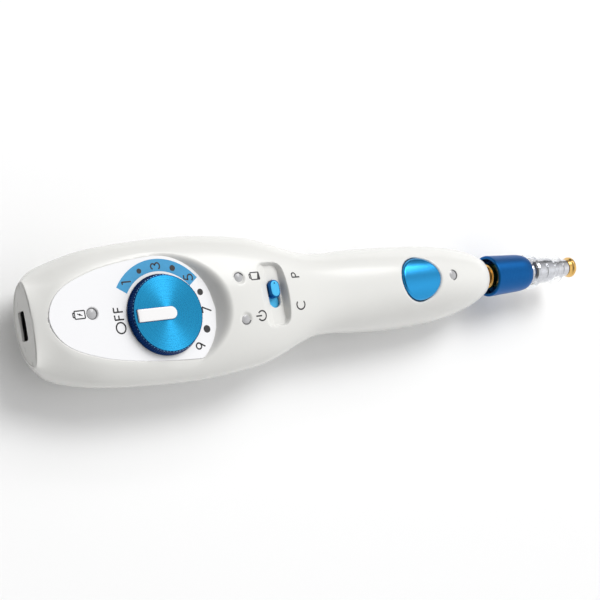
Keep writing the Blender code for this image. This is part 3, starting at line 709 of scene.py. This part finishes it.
def make_shells():
    upper = list(shell_grid(SEAM_ANGLE, math.pi - SEAM_ANGLE, UPPER_COLUMNS, ring_places(), True))
    holes = [(slot_distance, 0.06, 0.75), (button_distance, 0.09, 1.6)]
    shell = shell_mesh("casing_upper", with_seam_lips(close_ends(upper)), holes)
    show(shell, MATERIALS["white_gloss"], "upper_shell")

    coarse = np.append(np.arange(TAIL_X, NOSE_X, 1.0), NOSE_X)
    drop = SEAM_GAP / CASING_DEPTH
    start = 2 * math.pi + SEAM_ANGLE - drop
    lower = list(shell_grid(start, math.pi - SEAM_ANGLE + drop, LOWER_COLUMNS, coarse, False))
    shell = shell_mesh("casing_lower", with_seam_lips(close_ends(lower)))
    show(shell, MATERIALS["white_gloss"], "lower_shell")


# ---- Face plate and print ----


def plate_outline(steps=90):
    """Points round the face plate, from its apex round and back."""
    apex = TAIL_X
    while plate_edge(apex) <= 0.0:
        apex += 0.02
    half = []
    for step in range(steps + 1):
        x = apex + (RECESS_R - apex) * (step / steps) ** 1.6
        half.append((x, float(plate_edge(x))))
    outline = []
    for side in (1, -1):
        ring = []
        for x, y in half:
            disc = math.sqrt(max(0.0, PLATE_DISC_R**2 - (x - DIAL[0]) ** 2))
            reach = y if x < DIAL[0] else min(y, side * DIAL[1] + disc)
            ring.append((x, side * reach))
        outline += ring if side == 1 else list(reversed(ring))[1:-1]
    following = outline[1:] + outline[:1]
    return [point for point, after in zip(outline, following) if math.dist(point, after) > 0.02]


def bore(obj, cutter):
    """Cuts one object's shape out of another, and deletes the cutter."""
    cut = obj.modifiers.new("bore", "BOOLEAN")
    cut.operation = "DIFFERENCE"
    cut.object = cutter
    graph = bpy.context.evaluated_depsgraph_get()
    mesh = bpy.data.meshes.new_from_object(obj.evaluated_get(graph))
    obj.modifiers.remove(cut)
    obj.data = mesh
    bpy.data.objects.remove(cutter)


def make_face_plate():
    """The white plate round the dial, with a bore for the charging lamp."""
    bm = bmesh.new()
    outline = np.array(plate_outline())
    spokes = outline.mean(axis=0) - outline
    spokes /= np.linalg.norm(spokes, axis=1, keepdims=True)
    edge = 0.12
    rows = []
    for inset, drop in ((0.0, 1.0), (0.0, edge), (edge * 0.4, edge * 0.3), (edge, 0.0)):
        rows.append([bm.verts.new((x, y, PLATE_Z - drop)) for x, y in outline + spokes * inset])
    closed_stack(bm, rows)
    plate = new_object("face_plate_moulding", bm, sharp=30)
    x, y = LEDS["charge"]
    mouth = [(0.0, PLATE_Z + 0.5), (LED_R + 0.75, PLATE_Z + 0.5), (LED_R + 0.45, PLATE_Z),
             (LED_R + 0.1, PLATE_Z - 0.35), (LED_R + 0.08, PLATE_Z - 1.5), (0.0, PLATE_Z - 1.5)]
    bore(plate, lathe("lamp_bore", mouth, (x, y, 0), steps=48))
    plate.data.shade_flat()
    show(plate, MATERIALS["face_white"], "face_plate")


# Each glyph is a list of strokes, one unit high, starting at x = 0.
GLYPHS = {
    "O": (1.06, [arc((0.53, 0.5), (0.53, 0.5), 0, 360, 48)]),
    "F": (0.46, [[(0, 0), (0, 1)], [(0, 0.97), (0.46, 0.97)], [(0, 0.53), (0.42, 0.53)]]),
    "1": (0.24, [[(0.24, 0), (0.24, 1)], [(0.24, 0.97), (0.0, 0.93)]]),
    "3": (0.60, [
        arc((0.26, 0.745), (0.26, 0.225), 165, -75, 20),
        arc((0.27, 0.285), (0.31, 0.255), 80, -160, 24),
    ]),
    "5": (0.58, [
        [(0.52, 0.97), (0.14, 0.97)],
        [(0.14, 0.97), (0.06, 0.52)],
        arc((0.24, 0.31), (0.31, 0.28), 125, -150, 28),
    ]),
    "7": (0.62, [[(0.02, 0.97), (0.60, 0.97)], [(0.60, 0.97), (0.16, 0.0)]]),
    "9": (0.62, [arc((0.31, 0.69), (0.29, 0.28), 0, 360, 36), [(0.57, 0.56), (0.22, 0.0)]]),
    "P": (0.50, [
        [(0, 0), (0, 1)],
        [(0, 0.97), (0.24, 0.97), *arc((0.24, 0.72), (0.25, 0.25), 90, -90, 16), (0, 0.47)],
    ]),
    "C": (0.62, [arc((0.46, 0.5), (0.46, 0.5), 48, 312, 36)]),
}


def ribbon(bm, points, width, height_at, lift):
    """A flat strip along a path on a surface, finely divided so that it follows the surface."""
    dense = []
    for start, end in zip(points, points[1:]):
        count = max(1, math.ceil(math.dist(start, end) / 0.35))
        dense += [np.add(start, np.subtract(end, start) * step / count) for step in range(count)]
    dense.append(np.array(points[-1], float))
    dense = np.array(dense)
    ahead = np.gradient(dense, axis=0)
    closed = math.dist(points[0], points[-1]) < 1e-6
    if closed:
        ahead[0] = ahead[-1] = dense[1] - dense[-2]
    ahead /= np.linalg.norm(ahead, axis=1, keepdims=True)
    side = np.stack([-ahead[:, 1], ahead[:, 0]], axis=1) * width / 2
    rows = []
    for place, offset in zip(dense, side):
        pair = (place + offset, place - offset)
        rows.append([bm.verts.new((x, y, float(height_at(x, y)) + lift)) for x, y in pair])
    grid_faces(bm, rows, False)


def blot(bm, outline, height_at, lift):
    """A flat filled shape on a surface."""
    bm.faces.new([bm.verts.new((x, y, float(height_at(x, y)) + lift)) for x, y in outline])


def on_plate(x, y):
    return PLATE_Z


def write(bm, glyph, centre, height, height_at, lift=0.03, stroke=0.43):
    """Draws a glyph centred on a point, with its top towards -X."""
    width, strokes = GLYPHS[glyph]
    for path in strokes:
        placed = [(centre[0] - (up - 0.5) * height, centre[1] + (across - width / 2) * height)
                  for across, up in path]
        ribbon(bm, placed, stroke, height_at, lift)


SCALE_R = 14.09  # the power numbers stand on this circle
BAND_R = (12.51, 16.09)
BAND_TURNS = (146, 37)
NUMERAL_HEIGHT = 3.0
# Round the dial, in degrees: a number, or a dot and its radius.
DIAL_MARKS = ((135, "1"), (112.5, 0.75), (90, "3"), (67.5, 0.88), (45, "5"), (22.5, 0.95), (0.5, "7"),
              (-22.5, 1.1), (-45, "9"))
# Letters: glyph, centre and height.
OFF_LETTERS = (("O", (-14.05, -4.4), 2.9), ("F", (-14.05, -1.4), 2.9), ("F", (-14.05, 0.75), 2.9))
MODE_LETTERS = (("P", (44.4, 5.0), 2.8), ("C", (44.35, -4.45), 3.0))
CHARGE_ICON = (-25.8, 0.5)
BATTERY_ICON = (29.9, 5.75)
POWER_ICON = (29.9, -6.0)
POWER_STROKE = 0.42
ICON_STROKE = 0.34
BOLT_STROKE = 0.28
ICON_LIFT = 0.02


def around_dial(radius, degrees):
    angle = math.radians(degrees)
    return DIAL[0] + radius * math.cos(angle), DIAL[1] + radius * math.sin(angle)


def printed(name, bm, material):
    """A piece of print, with all its faces turned up."""
    bm.normal_update()
    for face in bm.faces:
        if face.normal.z < 0:
            face.normal_flip()
    return show(new_object(name, bm, smooth=False, recalc=False), material, body="body")


def make_print():
    """The marks: the blue band and the numbers round the dial, and the letters and icons."""
    bm = bmesh.new()
    rows = []
    for radius in BAND_R:
        band = [around_dial(radius, turn) for turn in np.linspace(*BAND_TURNS, 110)]
        rows.append([bm.verts.new((x, y, PLATE_Z + 0.015)) for x, y in band])
    grid_faces(bm, rows, False)
    printed("dial_band_print", bm, MATERIALS["print_blue"])

    bm = bmesh.new()
    for degrees, mark in DIAL_MARKS:
        place = around_dial(SCALE_R, degrees)
        if isinstance(mark, str):
            write(bm, mark, place, NUMERAL_HEIGHT, on_plate)
        else:
            blot(bm, oval_outline(place, (mark, mark), 40), on_plate, 0.03)
    for letter, place, height in OFF_LETTERS:
        write(bm, letter, place, height, on_plate)
    draw_battery(bm, CHARGE_ICON, (3.1, 2.2), on_plate, bolt=True)
    printed("face_plate_print", bm, MATERIALS["print_grey"])

    bm = bmesh.new()
    draw_battery(bm, BATTERY_ICON, (2.9, 2.15), skin_z, bolt=False)
    x, y = POWER_ICON
    ribbon(bm, arc(POWER_ICON, (1.4, 1.4), 215, 505, 39), POWER_STROKE, skin_z, ICON_LIFT)
    ribbon(bm, [(x - 2.1, y), (x - 0.1, y)], POWER_STROKE, skin_z, ICON_LIFT)
    for letter, place, height in MODE_LETTERS:
        write(bm, letter, place, height, skin_z, ICON_LIFT)
    printed("casing_print", bm, MATERIALS["print_grey"])


def draw_battery(bm, centre, size, height_at, bolt):
    """A battery icon with its terminal towards -X: with a bolt when charging, or nearly empty."""
    half_x, half_y = size[0] / 2, size[1] / 2
    x, y = centre
    corners = [(x - half_x, y - half_y), (x + half_x, y - half_y), (x + half_x, y + half_y),
               (x - half_x, y + half_y), (x - half_x, y - half_y)]
    cap = half_y * 0.55
    strokes = [
        *zip(corners, corners[1:]),
        ((x - half_x, y - cap), (x - half_x - 0.55, y - cap)),
        ((x - half_x - 0.5, y - cap), (x - half_x - 0.5, y + cap)),
        ((x - half_x - 0.55, y + cap), (x - half_x, y + cap)),
    ]
    for stroke in strokes:
        ribbon(bm, stroke, ICON_STROKE, height_at, ICON_LIFT)
    if bolt:
        for start, end in (((-0.75, 0.35), (0.15, -0.2)), ((0.1, -0.25), (-0.1, 0.3)),
                           ((-0.15, 0.25), (0.75, -0.35))):
            ribbon(bm, (np.add(centre, start), np.add(centre, end)), BOLT_STROKE, height_at, ICON_LIFT)
    else:
        charge = [(x + half_x - 0.95, y - half_y), *corners[1:3], (x + half_x - 0.3, y + half_y)]
        blot(bm, charge, height_at, 0.025)


# ---- Controls ----


def knurled(angle, radius, height):
    if not KNOB_LOW[2] + 0.45 <= height <= KNOB_TOP_Z - 0.3:
        return radius
    return radius - KNURL_DEPTH * (0.5 - 0.5 * math.cos(KNURL_TEETH * angle))


def notched(angle, radius, height):
    if height > KNOB_TOP_Z - 0.05:
        return radius
    return radius - NOTCH_DEPTH * (math.cos(EDGE_NOTCHES * angle) > 0)


def make_dial():
    """The knob in three pieces: knurled side, a light blue notched edge painted as the glint of the knurl
    tips, and spun top. Then the pointer.
    """
    low = KNOB_LOW[2]
    side = [
        (KNOB_TOP_R - 0.28, KNOB_TOP_Z),
        (KNOB_TOP_R - 0.08, KNOB_TOP_Z - 0.06),
        (KNOB_TOP_R, KNOB_TOP_Z - 0.2),
        (KNOB_TOP_R + 0.03, KNOB_TOP_Z - 0.32),
        (KNOB_TOP_R + 0.3, (KNOB_TOP_Z + low) / 2),
        (KNOB_BASE_R - 0.08, low + 0.5),
        (KNOB_BASE_R, low + 0.35),
        (KNOB_BASE_R, low),
        (KNOB_BASE_R - 1.4, low),
    ]
    wall = lathe("dial_side", side, (*DIAL, 0), steps=KNURL_TEETH * 8, radial=knurled)
    show(move_origin(wall, (*DIAL, 0)), MATERIALS["dial_side"], body="dial")

    # A bright notched ring at the top edge: a painted glint of the knurl tips.
    edge = [(KNOB_TOP_R - 0.3, KNOB_TOP_Z - 0.01), (KNOB_TOP_R + 0.04, KNOB_TOP_Z - 0.15)]
    edge = lathe("dial_painted_glint_edge", edge, (*DIAL, 0), steps=EDGE_NOTCHES * 8, radial=notched)
    show(move_origin(edge, (*DIAL, 0)), MATERIALS["dial_painted_glint_edge"], body="dial")

    top_r = KNOB_TOP_R - 0.28
    dish = [(radius, KNOB_TOP_Z - 0.02 * (1 - (radius / top_r) ** 2))
            for radius in np.linspace(top_r, 0.02, 24)]
    top = lathe("dial_top", dish, (*DIAL, 0), steps=192)
    show(move_origin(top, (*DIAL, 0)), MATERIALS["dial_top"], "dial_knob")

    high = box_mm("dial_pointer")[1][2]
    pointer = outline_solid("dial_pointer_bar", pointer_outline(), KNOB_TOP_Z - 0.35, high, edge=0.28)
    show(pointer, MATERIALS["pointer"], "dial_pointer")
    groove = outline_solid("dial_pointer_groove", pointer_outline(0.3), KNOB_TOP_Z - 0.4,
                           KNOB_TOP_Z + 0.012, edge=0.005)
    show(groove, MATERIALS["dial_side"], body="dial")


def pointer_outline(grow=0.0):
    """A bar with nearly square corners at the rim and a round end past the dial's centre."""
    length, width = POINTER_SIZE[0] + grow, POINTER_SIZE[1] + grow
    half = width / 2
    left = POINTER_X - length / 2
    corner = 0.25
    points = arc((POINTER_X + length / 2 - half, DIAL[1]), (half, half), -90, 90, 19)
    for start, y in ((90, DIAL[1] + half - corner), (180, DIAL[1] - half + corner)):
        points += arc((left + corner, y), (corner, corner), start, start + 90, 5)
    return points


def make_slider():
    """The sliding cap, a lighter sheet on its top as painted light, and its pip; and the base that shows
    in the slot, in the same lighter blue as painted light against the slot's shade.
    """
    centre = (SLOT_X, SLIDER_Y)
    cap = outline_solid("slider_cap", bar_outline(centre, SLIDER_SIZE, SLIDER_SIZE[0] / 2),
                        PLATE_Z - 1.0, SLIDER_TOP_Z - 0.06, edge=0.25)
    show(cap, MATERIALS["blue_satin"], "mode_slider")
    # A lighter sheet over the cap's top: painted light on the lit top.
    lit_top_size = (SLIDER_SIZE[0] - 0.6, SLIDER_SIZE[1] - 0.6)
    lit_top = outline_solid("slider_painted_light_top", bar_outline(centre, lit_top_size, lit_top_size[0] / 2),
                        SLIDER_TOP_Z - 0.5, SLIDER_TOP_Z - 0.02, edge=0.12)
    show(lit_top, MATERIALS["slider"], body="slider")
    # The base takes the same lighter blue: painted light against the shade in the slot.
    low, high = box_mm("mode_slider")
    size = high - low
    base = outline_solid("slider_base", bar_outline((SLOT_X, (low[1] + high[1]) / 2), size, 1.0),
                         low[2], POCKET_FLOOR_Z - 1.12, edge=0.1)
    show(base, MATERIALS["slider"], body="slider")
    knob = [(0.22, SLIDER_TOP_Z - 0.1), (0.2, SLIDER_TOP_Z + 0.03), (0.01, SLIDER_TOP_Z + 0.04)]
    pip = lathe("slider_pip", knob, (SLOT_X, SLIDER_Y + 1.6, 0), steps=24)
    show(pip, MATERIALS["dial_side"], body="slider")


def make_button():
    """The cap follows the casing's own curve, standing a little proud of it."""
    low = box_mm("button_cap")[0][2]
    bm = bmesh.new()
    outline = np.array(oval_outline(BUTTON, BUTTON_R, 144))
    rows = [[bm.verts.new((x, y, low)) for x, y in outline]]
    top = BUTTON_PROUD - 0.1
    for turn in np.linspace(0, math.pi / 2, 6):
        share = 1 - BUTTON_EDGE * (1 - math.cos(turn)) / BUTTON_R[1]
        drop = BUTTON_EDGE * (1 - math.sin(turn))
        rows.append(button_row(bm, outline, share, top - drop))
    for share in np.linspace(1 - BUTTON_EDGE / BUTTON_R[1], 0.02, 30)[1:]:
        rows.append(button_row(bm, outline, share, top))
    closed_stack(bm, rows)
    cap = new_object("button_cap_brushed", bm, sharp=45)
    show(move_origin(cap, (*BUTTON, low)), MATERIALS["button"], "button_cap")


def button_row(bm, outline, share, lift):
    middle = np.array(BUTTON)
    ring = middle + (outline - middle) * share
    return [bm.verts.new((x, y, float(skin_z(x, y)) + lift)) for x, y in ring]


def make_lamps():
    """A domed lens for each lamp, and a dark ring in the gap round it as painted shade."""
    for name, (x, y) in LEDS.items():
        low, high = box_mm(f"{name}_light_guide")
        surface = (PLATE_Z if name == "charge" else float(skin_z(x, y))) - 0.22
        profile = [(0.01, surface + 0.05), (0.5, surface + 0.03), (0.9, surface - 0.05),
                   (LED_R - 0.1, surface - 0.22), (LED_R, surface - 0.4), (LED_R, low[2])]
        lens = lathe(f"{name}_lens", profile, (x, y, 0), steps=48)
        show(lens, MATERIALS["lens"], f"{name}_light_guide")
        # Painted shade: a dark ring standing in for the shadow in the gap round the lens.
        gap = [(LED_R + 0.22, surface - 0.02), (LED_R + 0.02, surface - 0.12),
               (LED_R - 0.08, surface - 0.3)]
        gap = lathe(f"{name}_lens_painted_shade", gap, (x, y, 0), steps=48)
        show(gap, MATERIALS["lamp_painted_shade"], body="body")


# ---- Tail ----


def make_tail(steps=144):
    """The closing plate, with the mouth of the charging socket through it."""
    mouth_z = centre_mm("usb_socket")[2]
    turns = np.linspace(0, 2 * math.pi, steps, endpoint=False)
    hole = np.array([ray_to_bar((math.cos(turn), math.sin(turn))) for turn in turns])
    size = np.linalg.norm(hole, axis=1, keepdims=True)
    _, rim_y, rim_z = skin(np.full_like(turns, TAIL_X), turns, TAIL_PLATE_INSET)
    rim = np.stack([rim_y, rim_z - mouth_z], axis=1)
    rows = []
    for share, push in ((1.0, 1.6), (1.0, 0.06), (0.99, 0.0), (0.95, 0.0), (0.8, 0.0), (0.5, 0.0)):
        rows.append((hole + (rim - hole) * share, push))
    for push, grow in ((0.0, 0.12), (0.12, 0.0), (0.7, 0.0)):
        rows.append((hole * (1 + grow / size), push))
    bm = bmesh.new()
    made = []
    for row, push in rows:
        z = row[:, 1] + mouth_z
        points = np.stack([tail_face_x(z) + push, row[:, 0], z], axis=1)
        made.append([bm.verts.new(point) for point in points])
    grid_faces(bm, made, True)
    plate = new_object("tail_closing_plate", bm, sharp=40)
    show(plate, MATERIALS["white_gloss"], "tail_plate")


def tail_face_x(z):
    return TAIL_X + TAIL_PLATE_SET_BACK + TAIL_LEAN * (z - STATIONS[0][2])


def ray_to_bar(spoke):
    """Where a ray from the socket mouth's middle leaves the mouth, found by halving."""
    low, high = 0.0, sum(SOCKET_MOUTH) / 2
    for _ in range(30):
        reach = (low + high) / 2
        point = (spoke[0] * reach, spoke[1] * reach)
        inside = bar_distance(*point, (0, 0), SOCKET_MOUTH, SOCKET_MOUTH_CORNER) < 0
        low, high = (reach, high) if inside else (low, reach)
    return spoke[0] * low, spoke[1] * low


# ---- Nose and tip ----


def on_axis(name, profile, node=None, body=None, material=None, radius=0.12, steps=96):
    """A piece turned about the pen's long axis. Its profile lists (radius, x) points."""
    obj = lathe(name, rounded(profile, radius), (0, 0, AXIS_Z), "X", steps)
    return show(obj, material or MATERIALS[SLOT_OF[node]], node, body)


def make_nose():
    """The gilt post with its thread and grooves, and the collar round it."""
    thread = [(3.95 if step % 2 else 3.62, 124.9 + 0.22 * step) for step in range(11)]
    brass = [(2.1, 140.8), (3.6, 140.8), (3.9, 140.3), (3.9, 131.4), (3.3, 130.9), (3.3, 130.2),
             (4.0, 129.8), (4.0, 128.4), (3.5, 128.2), (3.5, 127.6), *reversed(thread), (4.0, 124.6),
             (4.0, 109.5), (2.1, 109.5)]
    on_axis("gilt_post", brass, "brass_post", radius=0.08)

    low, high = box_mm("lock_collar")
    rear, front = low[0], high[0]
    collar = [(4.3, front), (4.8, front), (5.25, front - 0.3), (5.62, front - 0.95),
              (5.9, front - 1.9), (6.08, front - 3.1), (6.2, front - 4.6), (6.72, rear + 0.8),
              (6.75, rear + 0.35), (6.6, rear + 0.06), (6.4, rear), (5.85, rear), (5.72, rear + 0.15),
              (5.4, rear + 3.2), (4.15, rear + 4.4), (4.12, 141.0)]
    on_axis("lock_collar_sleeve", collar, "lock_collar", radius=0.15, steps=128)
    liner = [(5.66, rear + 0.5), (5.36, rear + 3.15), (4.1, rear + 4.3)]
    on_axis("lock_collar_liner", liner, body="collar", material=MATERIALS["blue_satin"])


def make_tip():
    """The clear housing with its two flanges, the chrome barrel and tube in it, and the nozzle."""
    low, high = box_mm("tip_housing")
    start, end = low[0], high[0]
    outer = [(3.3, end), (4.35, end), (4.75, end - 0.3), (4.8, end - 1.2), (4.75, end - 2.0),
             (4.4, end - 2.4), (4.4, end - 11.2), (5.75, end - 11.5), (5.9, end - 11.8),
             (5.9, end - 12.9), (5.7, end - 13.2), (4.6, end - 13.6), (4.6, start + 0.2)]
    inner = [(3.35, start + 0.2), (3.35, end - 12.7), (4.12, end - 11.7), (4.12, end - 3.1),
             (3.3, end - 2.8), (3.3, end)]
    on_axis("tip_clear_housing", outer + inner, "tip_housing", radius=0.1, steps=128)
    barrel = [(2.9, 156.4), (3.85, 156.4), (3.98, 156.2), (3.98, 153.2), (3.75, 153.0), (3.75, 152.6),
              (3.98, 152.4), (3.98, 148.7), (3.1, 148.1), (3.1, 143.6), (0.8, 143.6)]
    on_axis("tip_chrome_barrel", barrel, "tip_barrel", radius=0.08)
    tube = [(1.6, 164.0), (2.85, 164.0), (2.93, 163.8), (2.93, 161.6), (2.78, 161.45), (2.78, 161.2),
            (2.93, 161.05), (2.93, 153.6), (1.6, 153.6), (1.6, 164.0)]
    on_axis("tip_chrome_tube", tube, "tip_tube", radius=0.05)
    nozzle = [(1.55, 166.9), (3.2, 166.95), (3.42, 166.6), (3.42, 165.9), (3.0, 165.3), (2.9, 164.2),
              (1.55, 164.2), (1.5, 165.6), (1.55, 166.9)]
    on_axis("tip_gilt_nozzle", nozzle, "tip_nozzle", radius=0.1)


# ---- CAD pieces that are shown as they are ----


def finish_cad_pieces():
    """Gives each CAD piece that no finer mesh stands for its material."""
    for name, obj in NODES.items():
        if name in REPLACED:
            continue
        obj.data.materials.clear()
        obj.data.materials.append(MATERIALS["chip_black" if name.startswith("usb") else SLOT_OF[name]])
        if name.startswith("case_screw"):
            obj.data.shade_smooth()
            obj.data.set_sharp_from_angle(angle=math.radians(35))


# ---- Floor, light and camera ----


# The studio's soft lights: name, place, the point each faces, size, all in metres, and power.
SOFT_LIGHTS = (
    ("softbox", (0.40, 0.42, 0.56), (0.06, 0, 0.02), (0.26, 0.42), 1.7),
    ("back_strip", (0.15, 0.60, 0.50), (0.05, 0, 0.02), (0.60, 0.05), 0.3),
)
KEY_FROM = Vector((0.28, 0.46, 0.82))
KEY_ENERGY = 1.18
KEY_SPREAD = math.radians(28)
FLOOR_SIZE = 6.0
FLOOR_WHITE = (0.9, 0.9, 0.9)

# The world's light: each glow's direction, the cosines where it starts and is full, and its strength.
AMBIENT = 0.07
GLOWS = (
    ((0.30, 0.35, 0.88), 0.40, 0.95, 0.62),
    ((0.55, -0.83, 0.10), 0.00, 0.95, 0.92),
)
BACKDROP = 0.95

# The camera's place, in metres, and its axes, fitted to the dial's circle and the print round it.
CAMERA_PLACE = (-0.2231, -0.0564, 0.4094)
CAMERA_RIGHT = Vector((0.81749, -0.18919, 0.54398))
CAMERA_DOWN = Vector((-0.09197, -0.97527, -0.20099))
CAMERA_FORWARD = Vector((0.56855, 0.11428, -0.81467))
CAMERA_LENS = 96
CAMERA_SENSOR = 36


def place_light(name, kind, energy):
    light = bpy.data.lights.new(name, kind)
    light.energy = energy
    obj = bpy.data.objects.new(name, light)
    bpy.context.scene.collection.objects.link(obj)
    return obj


def make_studio():
    """A pale floor, soft lights that make the gloss, and a broad key without gloss."""
    bpy.ops.mesh.primitive_plane_add(size=FLOOR_SIZE)
    floor = bpy.context.object
    floor.name = "floor"
    made = Finish("pale_floor", FLOOR_WHITE, 0.0, 0.6)
    made.vary_roughness(made.noise(3.0), 0.55, 0.65)
    floor.data.materials.append(made.material)

    make_world()
    for name, place, target, size, energy in SOFT_LIGHTS:
        obj = place_light(name, "AREA", energy)
        obj.data.shape = "RECTANGLE"
        obj.data.size, obj.data.size_y = size
        obj.location = place
        obj.rotation_euler = (Vector(target) - Vector(place)).to_track_quat("-Z", "Y").to_euler()
    key = place_light("key", "SUN", KEY_ENERGY)
    key.data.angle = KEY_SPREAD
    key.rotation_euler = KEY_FROM.to_track_quat("Z", "Y").to_euler()
    key.visible_glossy = False


def make_world():
    """The glows on a dim surround, and a pale backdrop that only the camera sees."""
    world = bpy.data.worlds.new("studio")
    bpy.context.scene.world = world
    world.use_nodes = True
    tree = world.node_tree
    link = tree.links.new
    places = add_node(tree, "ShaderNodeTexCoord")
    total = add_node(tree, "ShaderNodeValue").outputs["Value"]
    total.default_value = AMBIENT
    for direction, start, full, strength in GLOWS:
        dot = add_node(tree, "ShaderNodeVectorMath", operation="DOT_PRODUCT")
        dot.inputs[1].default_value = Vector(direction).normalized()
        link(places.outputs["Generated"], dot.inputs[0])
        glow = add_node(tree, "ShaderNodeMapRange", interpolation_type="SMOOTHSTEP",
                        From_Min=start, From_Max=full, To_Max=strength)
        link(dot.outputs["Value"], glow.inputs["Value"])
        add = add_node(tree, "ShaderNodeMath")
        link(glow.outputs["Result"], add.inputs[0])
        link(total, add.inputs[1])
        total = add.outputs["Value"]
    seen = add_node(tree, "ShaderNodeLightPath")
    backdrop = add_node(tree, "ShaderNodeMix", B=BACKDROP)
    link(seen.outputs["Is Camera Ray"], backdrop.inputs["Factor"])
    link(total, backdrop.inputs["A"])
    background = tree.nodes["Background"]
    link(backdrop.outputs["Result"], background.inputs["Strength"])
    background.inputs["Color"].default_value = (1, 1, 1, 1)


def make_camera():
    camera = bpy.data.cameras.new("camera")
    camera.sensor_width = CAMERA_SENSOR
    camera.lens = CAMERA_LENS
    camera.clip_start = 0.01
    obj = bpy.data.objects.new("camera", camera)
    turn = Matrix((CAMERA_RIGHT, -CAMERA_DOWN, -CAMERA_FORWARD)).transposed().to_4x4()
    obj.matrix_world = Matrix.Translation(CAMERA_PLACE) @ turn
    bpy.context.scene.collection.objects.link(obj)
    bpy.context.scene.camera = obj


def main():
    make_shells()
    make_face_plate()
    make_print()
    make_dial()
    make_slider()
    make_button()
    make_lamps()
    make_tail()
    make_nose()
    make_tip()
    finish_cad_pieces()
    make_studio()
    make_camera()
    bpy.context.scene.view_settings.view_transform = "Standard"


main()
